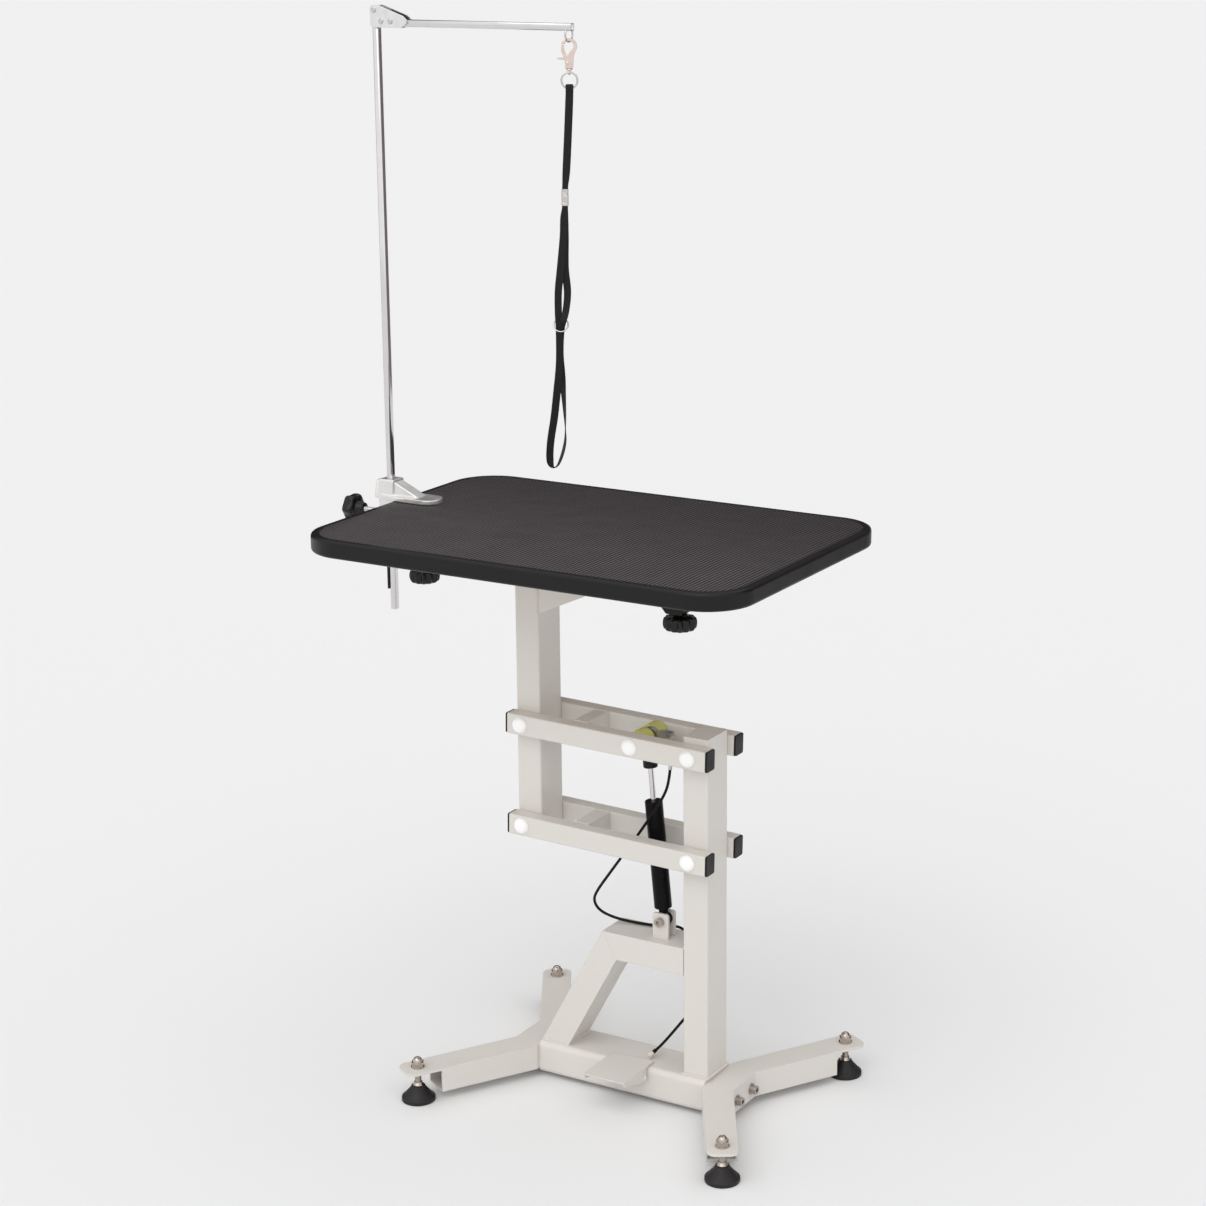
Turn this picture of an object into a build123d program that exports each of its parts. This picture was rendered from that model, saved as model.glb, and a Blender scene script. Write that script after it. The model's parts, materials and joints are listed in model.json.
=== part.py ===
"""Height-adjustable pet grooming table with a clamp-on overhead arm. Millimetres, +Z up.

The floor is z = 0 and the origin is under the middle of the whole object. X runs along the long
side of the tabletop and Y across it. The base carries a fixed column; two parallel link frames
carry a second column with the tabletop, and a lockable gas spring holds them.
"""
from build123d import *
from math import atan2, cos, pi, radians, sin, tan
import os

# Tabletop
table_length, table_width, table_thick = 702, 480, 26
table_corner = 70
table_x, table_top = 47, 850
band_lip, band_wall, band_round = 7, 4, 5
mat_thick, board_gap = 3, 2

# Base
base_x, beam_length, beam_depth, beam_height, beam_bottom = 110.5, 283, 80, 50, 7
beam_round, beam_wall = 9, 3
leg_width, leg_top, leg_bottom, leg_wall, plate_thick = 45, 52, 14, 3, 4
elbow_y, foot_reach, foot_y = 40, 114, 194
tab_past_foot, tube_short_of_foot, tab_round = 24, 29, 13
pad_radius, pad_neck_radius, pad_flange, pad_height = 25, 9, 7, 24
stud_radius, stud_above_nut_base, collar_radius = 5, 10.5, 6.5
nut_flats, nut_height, dome_radius, jam_nut_height = 17, 7.5, 7.5, 6
washer_radius, washer_thick = 10, 1.6
leg_bolt_y, leg_bolt_z = 22, 31
bolt_radius, bolt_head_radius, bolt_head_height, bolt_washer_radius = 4, 6.5, 8, 8.5
bolt_socket_flat, bolt_socket_depth = 3, 4

# Columns, both of the same tube
column_width, column_depth, column_wall = 40, 60, 2.5
lower_column_x, lower_column_top = 232, 575
upper_column_x, upper_column_bottom, upper_column_top = -46, 389, 816

# Link frames
link_run, link_tilt = 278, 1.3
upper_pivot_z, lower_pivot_z = 551, 396
bar_height, bar_thick, bar_wall, bar_gap = 31, 24, 2, 0.5
bar_past_right, bar_past_left, end_cap_thick = 29, 21, 3
cross_from_pivot = 190
pivot_radius, fit = 6, 0.05
pin_cap_radius, pin_cap_height = 12.2, 7

# Gas spring, along a line that leans back from its lower bolt
spring_x, spring_z = 164, 279
spring_pin_run = 94
cylinder_radius, cylinder_start, cylinder_end = 13, 18, 181
shoulder_radius, shoulder_start, spring_eye_radius = 7, 8, 10
bore_radius, bore_start, guide_start = 11, 30, 171
rod_radius, rod_start, rod_end, piston_end = 4, 70, 252, 80
sleeve_radius, sleeve_start, sleeve_end = 17, 7, 29
head_radius, head_half, slot_half, slot_drift, neck_radius, neck_length = 16, 4, 6.8, 8.2, 6.2, 22
boot_radius, boot_start, boot_end = 10.5, 231, 242
stub_bottom, stub_top = 212, 253
clevis_width, clevis_top, clevis_plate, eye_half, eye_gap = 26, 291, 4, 7, 0.5

# Pedal
pedal_x, pedal_width, pedal_sheet = 122.5, 69, 2
pedal_front, pedal_rear, pedal_top, pedal_round = -107, -20, 60, 1.5
pedal_pivot_y, pedal_pivot_z, pedal_pin_radius, pin_head_radius = -47, 44, 3, 4.2
pin_head_height = 2.4
flange_front_low, flange_low, flange_rear = 53, 37.5, -41.5
ear_thick, ear_gap, ear_radius = 4, 1, 7

# Clamp-on arm
arm_y, post_x, post_side = 25, -318, 10
post_bottom, post_top = 678, 1567
collar_side, collar_top, jaw_thick, jaw_tip_x, jaw_width = 27, 880, 7, -230, 42
clamp_floor, clamp_arm_thick, screw_x = 778, 12, -262
post_hole_gap, knob_boss, post_knob_z, rib_width = 0.1, 8, 827, 22
post_knob_face, post_knob_thick, post_knob_radius = -380, 18, 22.5
clamp_knob_top, clamp_knob_bottom, clamp_knob_radius = 746, 727, 23
clamp_pad_bottom, clamp_pad_radius, clamp_screw_radius = 815, 14, 5
post_hub_radius, post_hub_height, lobe_gap_offset, lobe_gap_radius = 9, 12, 4, 8
flute_offset, flute_radius, knob_hub_radius, clamp_hub_height, lock_hub_height = 1.6, 3, 10.5, 5, 4
lock_bracket_width, lock_stud_length = 38, 30
boom_z, boom_start_x, boom_end_x = 1545, -311, 10
knuckle_pivot_z, knuckle_bottom, knuckle_top = 1562.5, 1538.4, 1569.5
knuckle_sheet, rivet_radius, rivet_head_radius, rivet_head_height = 1.5, 2.5, 4.2, 1.8

# Snap hook and strap, which hang from the boom's end and face partly sideways
hang_x, hang_turn = 4, 30
boom_hole_z, boom_hole_radius = 1542.6, 2.1
ring_z, ring_radius, ring_wire = 1534.3, 9.3, 1.2
hook_z, hook_radius, hook_eye_z, hook_eye_radius, hook_half = 1518.8, 11.2, 1519.8, 6.4, 2.5
hook_bottom, rivet_u, rivet_z, trigger_half, trigger_slot = 1489.3, -2, 1496.7, 1.2, 1.35
hook_rivet_radius = 1.6
eye_z, eye_radius, eye_wire, eye_stud_radius = 1484.6, 3.2, 1.2, 2
o_ring_z, o_ring_radius, o_ring_wire = 1473, 11, 1.3
strap_half, fold_half, fold_inner, ply_split = 1.7, 3.1, 1.6, 1454
ferrule_bottom, ferrule_top = 1302, 1325
slider_u, slider_z, slider_radius, slider_wire, slider_tilt = -16.2, 1135, 10.2, 1.1, 60

# Release cable, from the release head down to its stop behind the pedal
cable_radius, cable_ferrule_radius, cable_ferrule = 2.1, 3.5, 9
cable_points = [
    (175, 0, 517), (177, -8, 492), (171, -16, 471), (157, -20, 447), (133, -22, 410),
    (105, -21.5, 371), (81, -19, 338), (61, -15.5, 311), (50, -11, 292), (52, -4, 276),
    (61, 3, 266), (81, 10.5, 258.5), (108, 16.5, 255.8), (133, 20, 255.8), (155, 26, 257),
    (170, 33.5, 256.5), (181, 37, 248), (192, 38.5, 231), (203, 38.5, 208), (206, 38.5, 178),
    (199, 38, 148), (184, 35, 119), (168, 27, 96), (157, 16, 79), (150, 4, 69), (147, -7, 65.5),
]

os.makedirs("parts", exist_ok=True)


cable_route = [Vector(*point) for point in cable_points]
cable_end_way = (cable_route[-1] - cable_route[-2]).normalized()


def save(name, block):
    """Label a finished piece and write its STEP file."""
    block.part.label = name
    export_step(block.part, f"parts/{name}.step")


# ---------------------------------------------------------------- tabletop
table_face = Plane((table_x, 0, table_top))
table_under = Plane((table_x, 0, table_top - table_thick))
board_floor = table_top - table_thick + board_gap
board_top = table_top - mat_thick


def table_outline(inset):
    RectangleRounded(table_length - 2 * inset, table_width - 2 * inset, table_corner - inset)


with BuildPart() as edge_band:
    with BuildSketch(table_under):
        table_outline(0)
    extrude(amount=table_thick)
    fillet(edge_band.edges().group_by(Axis.Z)[-1], band_round)
    fillet(edge_band.edges().group_by(Axis.Z)[0], band_round)
    with BuildSketch(Plane((table_x, 0, board_top))):
        table_outline(band_lip)
    extrude(amount=mat_thick, mode=Mode.SUBTRACT)
    with BuildSketch(Plane((table_x, 0, board_floor))):
        table_outline(band_wall)
    extrude(amount=board_top - board_floor, mode=Mode.SUBTRACT)
    with BuildSketch(table_under):
        table_outline(band_lip)
    extrude(amount=board_gap, mode=Mode.SUBTRACT)
save("edge_band", edge_band)

with BuildPart() as board:
    with BuildSketch(Plane((table_x, 0, board_floor))):
        table_outline(band_wall)
    extrude(amount=board_top - board_floor)
save("table_board", board)

with BuildPart() as mat:
    with BuildSketch(Plane((table_x, 0, board_top))):
        table_outline(band_lip)
    extrude(amount=mat_thick)
save("table_mat", mat)

# ---------------------------------------------------------------- base
beam_half = beam_length / 2
beam_mid_z = beam_bottom + beam_height / 2
beam_top = beam_bottom + beam_height
beam_front = -beam_depth / 2
pedal_half = pedal_width / 2
ear_place = pedal_half - pedal_sheet - ear_gap - ear_thick / 2

with BuildPart() as base_beam:
    with BuildSketch(Plane((base_x - beam_half, 0, beam_mid_z), x_dir=(0, 1, 0), z_dir=(1, 0, 0))):
        RectangleRounded(beam_depth, beam_height, beam_round)
    extrude(amount=beam_length)
    with BuildSketch(Plane((base_x - beam_half + 6, 0, beam_mid_z), x_dir=(0, 1, 0), z_dir=(1, 0, 0))):
        RectangleRounded(beam_depth - 2 * beam_wall, beam_height - 2 * beam_wall, beam_round - beam_wall)
    extrude(amount=beam_length - 12, mode=Mode.SUBTRACT)
    for side in (-ear_place, ear_place):
        ear_plane = Plane((pedal_x + side - ear_thick / 2, 0, 0), x_dir=(0, 1, 0), z_dir=(1, 0, 0))
        with BuildSketch(ear_plane):
            with Locations((pedal_pivot_y, pedal_pivot_z)):
                Circle(ear_radius)
            with Locations(((pedal_pivot_y + beam_front + 1) / 2, pedal_pivot_z)):
                Rectangle(beam_front + 1 - pedal_pivot_y, 2 * ear_radius)
        extrude(amount=ear_thick)
    with Locations(Plane((pedal_x, pedal_pivot_y, pedal_pivot_z), x_dir=(0, 1, 0), z_dir=(1, 0, 0))):
        Cylinder(pedal_pin_radius + fit, pedal_width, mode=Mode.SUBTRACT)
    with BuildSketch(Plane(cable_route[-1], z_dir=cable_end_way)):
        Circle(cable_ferrule_radius)
    extrude(amount=cable_ferrule)
    with Locations(cable_route[-1] + cable_end_way * cable_ferrule / 2 - Vector(0, 0, 4)):
        Box(3, cable_ferrule - 2, 8)
    for end in (-1, 1):
        for y in (-leg_bolt_y, leg_bolt_y):
            with Locations(Plane((base_x + end * (beam_half - 3), y, leg_bolt_z), z_dir=(1, 0, 0))):
                Cylinder(bolt_radius, 6, mode=Mode.SUBTRACT)
save("base_beam", base_beam)

# Each leg runs along the beam's end, then turns outward at its elbows to reach its feet
leg_out = beam_half + leg_width
elbow_x = beam_half + leg_width / 2
foot_x = beam_half + foot_reach
arm_turn = atan2(foot_x - elbow_x, foot_y - elbow_y)


def leg_outline(half_width, past_foot):
    """The boomerang outline of one leg, about the middle of the beam, on the +X side."""
    miter = half_width * tan(arm_turn / 2)
    end_x = foot_x + past_foot * sin(arm_turn)
    end_y = foot_y + past_foot * cos(arm_turn)
    side_x = half_width * cos(arm_turn)
    side_y = half_width * sin(arm_turn)
    upper = [
        (elbow_x - half_width, elbow_y + miter),
        (end_x - side_x, end_y + side_y),
        (end_x + side_x, end_y - side_y),
        (elbow_x + half_width, elbow_y - miter),
    ]
    lower = [(x, -y) for x, y in reversed(upper)]
    Polygon(*upper, *lower, align=None)


def build_leg(name, side):
    """One leg: a tube whose top wall runs on past its open ends, as the tabs that hold the feet."""
    frame = Plane((base_x, 0, 0), x_dir=(side, 0, 0), z_dir=(0, 0, side))
    with BuildPart() as leg:
        with BuildSketch(frame.offset(side * (leg_top - plate_thick))):
            leg_outline(leg_width / 2, tab_past_foot)
        extrude(amount=side * plate_thick)
        tab_ends = leg.edges().filter_by(Axis.Z).filter_by(lambda e: abs(e.center().Y) > foot_y)
        fillet(tab_ends, tab_round)
        with BuildSketch(frame.offset(side * leg_bottom)):
            leg_outline(leg_width / 2, -tube_short_of_foot)
        extrude(amount=side * (leg_top - plate_thick - leg_bottom))
        with BuildSketch(frame.offset(side * (leg_bottom + leg_wall))):
            leg_outline(leg_width / 2 - leg_wall, 0)
        extrude(amount=side * (leg_top - plate_thick - leg_bottom - leg_wall), mode=Mode.SUBTRACT)
        for y in (-foot_y, foot_y):
            with Locations((base_x + side * foot_x, y, leg_top - plate_thick / 2)):
                Cylinder(stud_radius + 0.4, plate_thick, mode=Mode.SUBTRACT)
        for y in (-leg_bolt_y, leg_bolt_y):
            with Locations(Plane((base_x + side * elbow_x, y, leg_bolt_z), z_dir=(1, 0, 0))):
                Cylinder(bolt_radius, leg_width, mode=Mode.SUBTRACT)
    save(name, leg)


build_leg("leg_left", -1)
build_leg("leg_right", 1)

feet = {
    "front_left": (base_x - foot_x, -foot_y),
    "front_right": (base_x + foot_x, -foot_y),
    "rear_left": (base_x - foot_x, foot_y),
    "rear_right": (base_x + foot_x, foot_y),
}
nut_base = leg_top + washer_thick
stud_top = nut_base + stud_above_nut_base

for place, (x, y) in feet.items():
    foot_plane = Plane((x, y, 0), x_dir=(1, 0, 0), z_dir=(0, -1, 0))
    with BuildPart() as pad:
        with BuildSketch(foot_plane):
            with BuildLine():
                Polyline(
                    (0, 0), (pad_radius - 1, 0), (pad_radius, 1), (pad_radius, pad_flange),
                    (pad_neck_radius, pad_height), (0, pad_height), close=True,
                )
            make_face()
        revolve(axis=Axis((x, y, 0), (0, 0, 1)))
        with Locations((x, y, pad_height - 3)):
            Cylinder(stud_radius, 6, mode=Mode.SUBTRACT)
    save(f"foot_pad_{place}", pad)
    with BuildPart() as stud:
        with Locations((x, y, (pad_height - 6 + stud_top) / 2)):
            Cylinder(stud_radius, stud_top - pad_height + 6)
        with Locations((x, y, pad_height + 2)):
            Cylinder(collar_radius, 4)
    save(f"foot_stud_{place}", stud)

with BuildPart() as foot_nuts:
    for x, y in feet.values():
        with BuildSketch(Plane((x, y, nut_base))):
            RegularPolygon(nut_flats / 2, 6, major_radius=False)
        extrude(amount=nut_height)
        with Locations((x, y, nut_base + nut_height)):
            Sphere(dome_radius)
        with Locations((x, y, leg_top + washer_thick / 2)):
            Cylinder(washer_radius, washer_thick)
        with Locations((x, y, (leg_top + stud_top) / 2)):
            Cylinder(stud_radius + fit, stud_top - leg_top + 0.4, mode=Mode.SUBTRACT)
        with BuildSketch(Plane((x, y, leg_top - plate_thick - jam_nut_height))):
            RegularPolygon(nut_flats / 2, 6, major_radius=False)
            Circle(stud_radius + fit, mode=Mode.SUBTRACT)
        extrude(amount=jam_nut_height)
save("foot_nuts", foot_nuts)

with BuildPart() as lower_column:
    with BuildSketch(Plane((lower_column_x, 0, beam_top))):
        RectangleRounded(column_width, column_depth, 3)
    extrude(amount=lower_column_top - beam_top)
    with BuildSketch(Plane((lower_column_x, 0, beam_top))):
        RectangleRounded(column_width - 2 * column_wall, column_depth - 2 * column_wall, 0.5)
    extrude(amount=lower_column_top - beam_top - 3, mode=Mode.SUBTRACT)
    for z in (lower_pivot_z, upper_pivot_z):
        with Locations(Plane((lower_column_x, 0, z), z_dir=(0, 1, 0))):
            Cylinder(pivot_radius + fit, column_depth, mode=Mode.SUBTRACT)
save("lower_column", lower_column)

# The brace: a short stub off the column and a slanting tube down to the beam's far end
stub_right = lower_column_x - column_width / 2
beam_left = base_x - beam_half
brace_foot_width = 46
brace_corner_x = 76
brace_slope = (stub_top - beam_top) / (brace_corner_x - beam_left)
brace_inner_x = beam_left + brace_foot_width + (stub_bottom - beam_top) / brace_slope

with BuildPart() as brace_stub:
    with BuildSketch(Plane.XZ.offset(-column_depth / 2)):
        with BuildLine():
            Polyline(
                (brace_inner_x, stub_bottom), (stub_right, stub_bottom),
                (stub_right, stub_top), (brace_corner_x, stub_top), close=True,
            )
        make_face()
    extrude(amount=column_depth)
    with BuildSketch(Plane((stub_right, 0, (stub_bottom + stub_top) / 2), x_dir=(0, 1, 0), z_dir=(1, 0, 0))):
        Rectangle(column_depth - 2 * column_wall, stub_top - stub_bottom - 2 * column_wall)
    extrude(amount=-(stub_right - brace_inner_x - 8), mode=Mode.SUBTRACT)
save("brace_stub", brace_stub)

with BuildPart() as brace_leg:
    with BuildSketch(Plane.XZ.offset(-column_depth / 2)):
        with BuildLine():
            Polyline(
                (beam_left, beam_top), (beam_left + brace_foot_width, beam_top),
                (brace_inner_x, stub_bottom), (brace_corner_x, stub_top), close=True,
            )
        make_face()
    extrude(amount=column_depth)
    with BuildSketch(Plane.XZ.offset(-column_depth / 2 + column_wall)):
        with BuildLine():
            Polyline(
                (beam_left + 4, beam_top), (beam_left + brace_foot_width - 4, beam_top),
                (brace_inner_x - 7, stub_bottom - 6), (brace_corner_x - 7, stub_top - 18), close=True,
            )
        make_face()
    extrude(amount=column_depth - 2 * column_wall, mode=Mode.SUBTRACT)
save("brace_leg", brace_leg)

plate_inner = eye_half + eye_gap
with BuildPart() as spring_clevis:
    for y in (-plate_inner - clevis_plate, plate_inner):
        with BuildSketch(Plane.XZ.offset(-y - clevis_plate)):
            with Locations((spring_x, (stub_top + clevis_top) / 2)):
                RectangleRounded(clevis_width, clevis_top - stub_top, 4)
            with Locations((spring_x, stub_top + 3)):
                Rectangle(clevis_width, 6)
        extrude(amount=clevis_plate)
    with Locations(Plane((spring_x, 0, spring_z), z_dir=(0, 1, 0))):
        Cylinder(bolt_radius, 60, mode=Mode.SUBTRACT)
save("spring_clevis", spring_clevis)


bolt_face = plate_inner + clevis_plate
clevis_bolt_face = Plane((spring_x, -bolt_face, spring_z), z_dir=(0, -1, 0))
bolt_places = [(clevis_bolt_face, 2 * bolt_face + 8)]
for side in (-1, 1):
    for y in (-leg_bolt_y, leg_bolt_y):
        outer = Plane((base_x + side * leg_out, y, leg_bolt_z), z_dir=(side, 0, 0))
        bolt_places.append((outer.offset(washer_thick), leg_width + washer_thick + 6))

with BuildPart() as base_bolts:
    for face, length in bolt_places:
        with BuildSketch(face):
            Circle(bolt_head_radius)
        extrude(amount=bolt_head_height)
        with BuildSketch(face.offset(bolt_head_height)):
            RegularPolygon(bolt_socket_flat, 6, major_radius=False)
        extrude(amount=-bolt_socket_depth, mode=Mode.SUBTRACT)
        with BuildSketch(face):
            Circle(bolt_radius)
        extrude(amount=-length)
    for face, _ in bolt_places[1:]:
        with BuildSketch(face):
            Circle(bolt_washer_radius)
        extrude(amount=-washer_thick)
    with BuildSketch(Plane((spring_x, bolt_face, spring_z), z_dir=(0, 1, 0))):
        RegularPolygon(bolt_head_radius, 6, major_radius=False)
    extrude(amount=bolt_head_radius)
save("base_bolts", base_bolts)

# ---------------------------------------------------------------- gas spring
spring_pin_x = lower_column_x - spring_pin_run
spring_pin_z = upper_pivot_z + spring_pin_run * tan(radians(link_tilt))
spring_dir = Vector(spring_pin_x - spring_x, 0, spring_pin_z - spring_z).normalized()
spring_axis = Plane((spring_x, 0, spring_z), x_dir=(0, 1, 0), z_dir=spring_dir)

with BuildPart() as cylinder:
    with BuildSketch(spring_axis.offset(cylinder_start)):
        Circle(cylinder_radius)
    extrude(amount=cylinder_end - cylinder_start)
    fillet(cylinder.edges(), 1.5)
    with BuildSketch(spring_axis.offset(shoulder_start)):
        Circle(shoulder_radius)
    extrude(amount=cylinder_start - shoulder_start)
    with BuildSketch(Plane.XZ.offset(-eye_half)):
        with Locations((spring_x, spring_z)):
            Circle(spring_eye_radius)
    extrude(amount=2 * eye_half)
    with BuildSketch(spring_axis.offset(bore_start)):
        Circle(bore_radius)
    extrude(amount=guide_start - bore_start, mode=Mode.SUBTRACT)
    with BuildSketch(spring_axis.offset(guide_start)):
        Circle(rod_radius + fit)
    extrude(amount=cylinder_end - guide_start, mode=Mode.SUBTRACT)
    with Locations(Plane((spring_x, 0, spring_z), z_dir=(0, 1, 0))):
        Cylinder(bolt_radius, 2 * eye_half, mode=Mode.SUBTRACT)
save("spring_cylinder", cylinder)

with BuildPart() as rod:
    with BuildSketch(spring_axis.offset(rod_start)):
        Circle(rod_radius)
    extrude(amount=rod_end - rod_start)
    with BuildSketch(spring_axis.offset(rod_start)):
        Circle(bore_radius - fit)
    extrude(amount=piston_end - rod_start)
save("spring_rod", rod)

# The release head rides on the rod's end. The pin that joins it to the upper link frame runs in a
# slot across it, because the pin swings on an arc and the rod slides in a straight line
pin_plane = Plane((spring_pin_x, 0, spring_pin_z), x_dir=(1, 0, 0), z_dir=(0, -1, 0))
lever_pivot, lever_pin_radius, lever_gap = (22, 8), 1.5, 0.1
cable_start_plane = Plane(cable_route[0], z_dir=cable_route[0] - cable_route[1])
with BuildPart() as head:
    with BuildSketch(pin_plane.offset(-head_half)):
        with Locations((slot_drift / 2, 0)):
            Circle(head_radius)
        Polygon((4, -13), (12, -24), (40, -34), (44, -26), (28, 4), (24, 12), (12, 8), align=None)
    extrude(amount=2 * head_half)
    with BuildSketch(spring_axis.offset(boot_end)):
        Circle(neck_radius)
    extrude(amount=neck_length)
    with BuildSketch(cable_start_plane):
        Circle(cable_ferrule_radius)
    extrude(amount=cable_ferrule)
    with BuildSketch(pin_plane.offset(-neck_radius - 1)):
        with Locations((slot_drift / 2, 0)):
            SlotCenterToCenter(slot_drift, 2 * slot_half)
    extrude(amount=2 * neck_radius + 2, mode=Mode.SUBTRACT)
    with BuildSketch(spring_axis.offset(boot_end)):
        Circle(rod_radius)
    extrude(amount=rod_end - boot_end, mode=Mode.SUBTRACT)
    with Locations(pin_plane * Pos(*lever_pivot)):
        Cylinder(lever_pin_radius + fit, 2 * head_half, mode=Mode.SUBTRACT)
save("release_head", head)

with BuildPart() as boot:
    with BuildSketch(spring_axis.offset(boot_start)):
        Circle(boot_radius)
    extrude(amount=boot_end - boot_start)
    fillet(boot.edges().group_by(SortBy.DISTANCE)[0], 1)
    with BuildSketch(spring_axis.offset(boot_start)):
        Circle(rod_radius)
    extrude(amount=boot_end - boot_start, mode=Mode.SUBTRACT)
save("rod_boot", boot)

# The release lever pivots on the head and its nose carries the cable's inner wire
lever_outer = head_half + 2
with BuildPart() as lever:
    for side in (-lever_outer, head_half + lever_gap):
        with BuildSketch(pin_plane.offset(side)):
            Polygon((18, 3), (30, 3), (40, 8), (40, 13), (26, 14), (18, 13), align=None)
        extrude(amount=lever_outer - head_half - lever_gap)
    with BuildSketch(pin_plane.offset(-lever_outer)):
        Polygon((34, 5), (40, 8), (40, 13), (34, 13.5), align=None)
    extrude(amount=2 * lever_outer)
    with Locations(pin_plane * Pos(*lever_pivot)):
        Cylinder(lever_pin_radius, 2 * lever_outer)
save("release_lever", lever)

# ---------------------------------------------------------------- link frames
link_dir = Vector(cos(radians(link_tilt)), 0, -sin(radians(link_tilt)))
link_up = Vector(sin(radians(link_tilt)), 0, cos(radians(link_tilt)))
link_length = link_run / cos(radians(link_tilt))
bar_inner = column_depth / 2 + bar_gap
bar_outer = bar_inner + bar_thick
bar_middle = bar_inner + bar_thick / 2
bar_length = link_length + bar_past_left + bar_past_right


def build_link(name, pivot_z, spring_pin):
    """One link frame: two bars with end caps, a cross tube, and pins with domed caps."""
    pivot = Vector(lower_column_x, 0, pivot_z)
    pins = [0, link_length]
    if spring_pin:
        pins.append(spring_pin_run / cos(radians(link_tilt)))

    for side, y in (("front", -bar_middle), ("rear", bar_middle)):
        left_end = pivot - link_dir * (link_length + bar_past_left) + Vector(0, y, 0)
        section = Plane(left_end, x_dir=(0, 1, 0), z_dir=link_dir)
        with BuildPart() as bar:
            with BuildSketch(section):
                RectangleRounded(bar_thick, bar_height, 2.5)
                RectangleRounded(bar_thick - 2 * bar_wall, bar_height - 2 * bar_wall, 1, mode=Mode.SUBTRACT)
            extrude(amount=bar_length)
            for run in pins:
                with Locations(Plane(pivot - link_dir * run + Vector(0, y, 0), z_dir=(0, 1, 0))):
                    Cylinder(pivot_radius, bar_thick, mode=Mode.SUBTRACT)
        save(f"{name}_bar_{side}", bar)

    with BuildPart() as cross_tube:
        cross_start = pivot - link_dir * cross_from_pivot - Vector(0, bar_inner, 0)
        with BuildSketch(Plane(cross_start, x_dir=link_dir, z_dir=(0, 1, 0))):
            RectangleRounded(bar_thick, bar_height, 2.5)
            RectangleRounded(bar_thick - 2 * bar_wall, bar_height - 2 * bar_wall, 1, mode=Mode.SUBTRACT)
        extrude(amount=2 * bar_inner)
    save(f"{name}_cross_tube", cross_tube)

    with BuildPart() as end_caps:
        for y in (-bar_middle, bar_middle):
            for run, way in ((-bar_past_right, 1), (link_length + bar_past_left, -1)):
                centre = pivot - link_dir * run + Vector(0, y, 0)
                with BuildSketch(Plane(centre, x_dir=(0, 1, 0), z_dir=link_dir * way)):
                    RectangleRounded(bar_thick - 1, bar_height - 1, 2.5)
                extrude(amount=end_cap_thick)
                with BuildSketch(Plane(centre, x_dir=(0, 1, 0), z_dir=link_dir * -way)):
                    RectangleRounded(bar_thick - 2 * bar_wall, bar_height - 2 * bar_wall, 1)
                extrude(amount=10)
    save(f"{name}_end_caps", end_caps)

    with BuildPart() as pivot_pins:
        for run in pins:
            with Locations(Plane(pivot - link_dir * run, z_dir=(0, 1, 0))):
                Cylinder(pivot_radius, 2 * bar_outer)
    save(f"{name}_pins", pivot_pins)

    with BuildPart() as pin_caps:
        for run in pins:
            for side in (-1, 1):
                cap_face = pivot - link_dir * run + Vector(0, side * bar_outer, 0)
                with BuildSketch(Plane(cap_face, z_dir=(0, side, 0))):
                    Circle(pin_cap_radius)
                extrude(amount=pin_cap_height)
        outer_rims = pin_caps.edges().filter_by(GeomType.CIRCLE)
        fillet(outer_rims.filter_by(lambda e: abs(e.center().Y) > bar_outer + 1), pin_cap_height - 1.5)
    save(f"{name}_pin_caps", pin_caps)


build_link("upper", upper_pivot_z, True)
build_link("lower", lower_pivot_z, False)

with BuildPart() as pin_sleeves:
    for side in (-1, 1):
        with BuildSketch(Plane((spring_pin_x, side * sleeve_start, spring_pin_z), z_dir=(0, side, 0))):
            Circle(sleeve_radius)
            Circle(pivot_radius, mode=Mode.SUBTRACT)
        extrude(amount=sleeve_end - sleeve_start)
save("pin_sleeves", pin_sleeves)

# ---------------------------------------------------------------- upper column and table frame
upper_pivot_left_z = upper_pivot_z + link_run * tan(radians(link_tilt))
lower_pivot_left_z = lower_pivot_z + link_run * tan(radians(link_tilt))

with BuildPart() as upper_column:
    with BuildSketch(Plane((upper_column_x, 0, upper_column_bottom))):
        RectangleRounded(column_width, column_depth, 3)
    extrude(amount=upper_column_top - upper_column_bottom)
    with BuildSketch(Plane((upper_column_x, 0, upper_column_bottom + 3))):
        RectangleRounded(column_width - 2 * column_wall, column_depth - 2 * column_wall, 0.5)
    extrude(amount=upper_column_top - upper_column_bottom - 6, mode=Mode.SUBTRACT)
    for z in (lower_pivot_left_z, upper_pivot_left_z):
        with Locations(Plane((upper_column_x, 0, z), z_dir=(0, 1, 0))):
            Cylinder(pivot_radius + fit, column_depth, mode=Mode.SUBTRACT)
save("upper_column", upper_column)

beam_start_x = upper_column_x + column_width / 2
top_beam_end, top_beam_deep, top_beam_shallow, top_beam_taper = 222, 94, 30, 140
with BuildPart() as top_beam:
    with BuildSketch(Plane.XZ.offset(-column_depth / 2)):
        Polygon(
            (beam_start_x, upper_column_top - top_beam_deep),
            (beam_start_x + top_beam_taper, upper_column_top - top_beam_shallow),
            (top_beam_end, upper_column_top - top_beam_shallow),
            (top_beam_end, upper_column_top),
            (beam_start_x, upper_column_top),
            align=None,
        )
    extrude(amount=column_depth)
    with BuildSketch(Plane.XZ.offset(-column_depth / 2 + column_wall)):
        Polygon(
            (beam_start_x + 3, upper_column_top - top_beam_deep + 6),
            (beam_start_x + top_beam_taper, upper_column_top - top_beam_shallow + 3),
            (top_beam_end - 3, upper_column_top - top_beam_shallow + 3),
            (top_beam_end - 3, upper_column_top - 3),
            (beam_start_x + 3, upper_column_top - 3),
            align=None,
        )
    extrude(amount=column_depth - 2 * column_wall, mode=Mode.SUBTRACT)
save("top_beam", top_beam)

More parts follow.
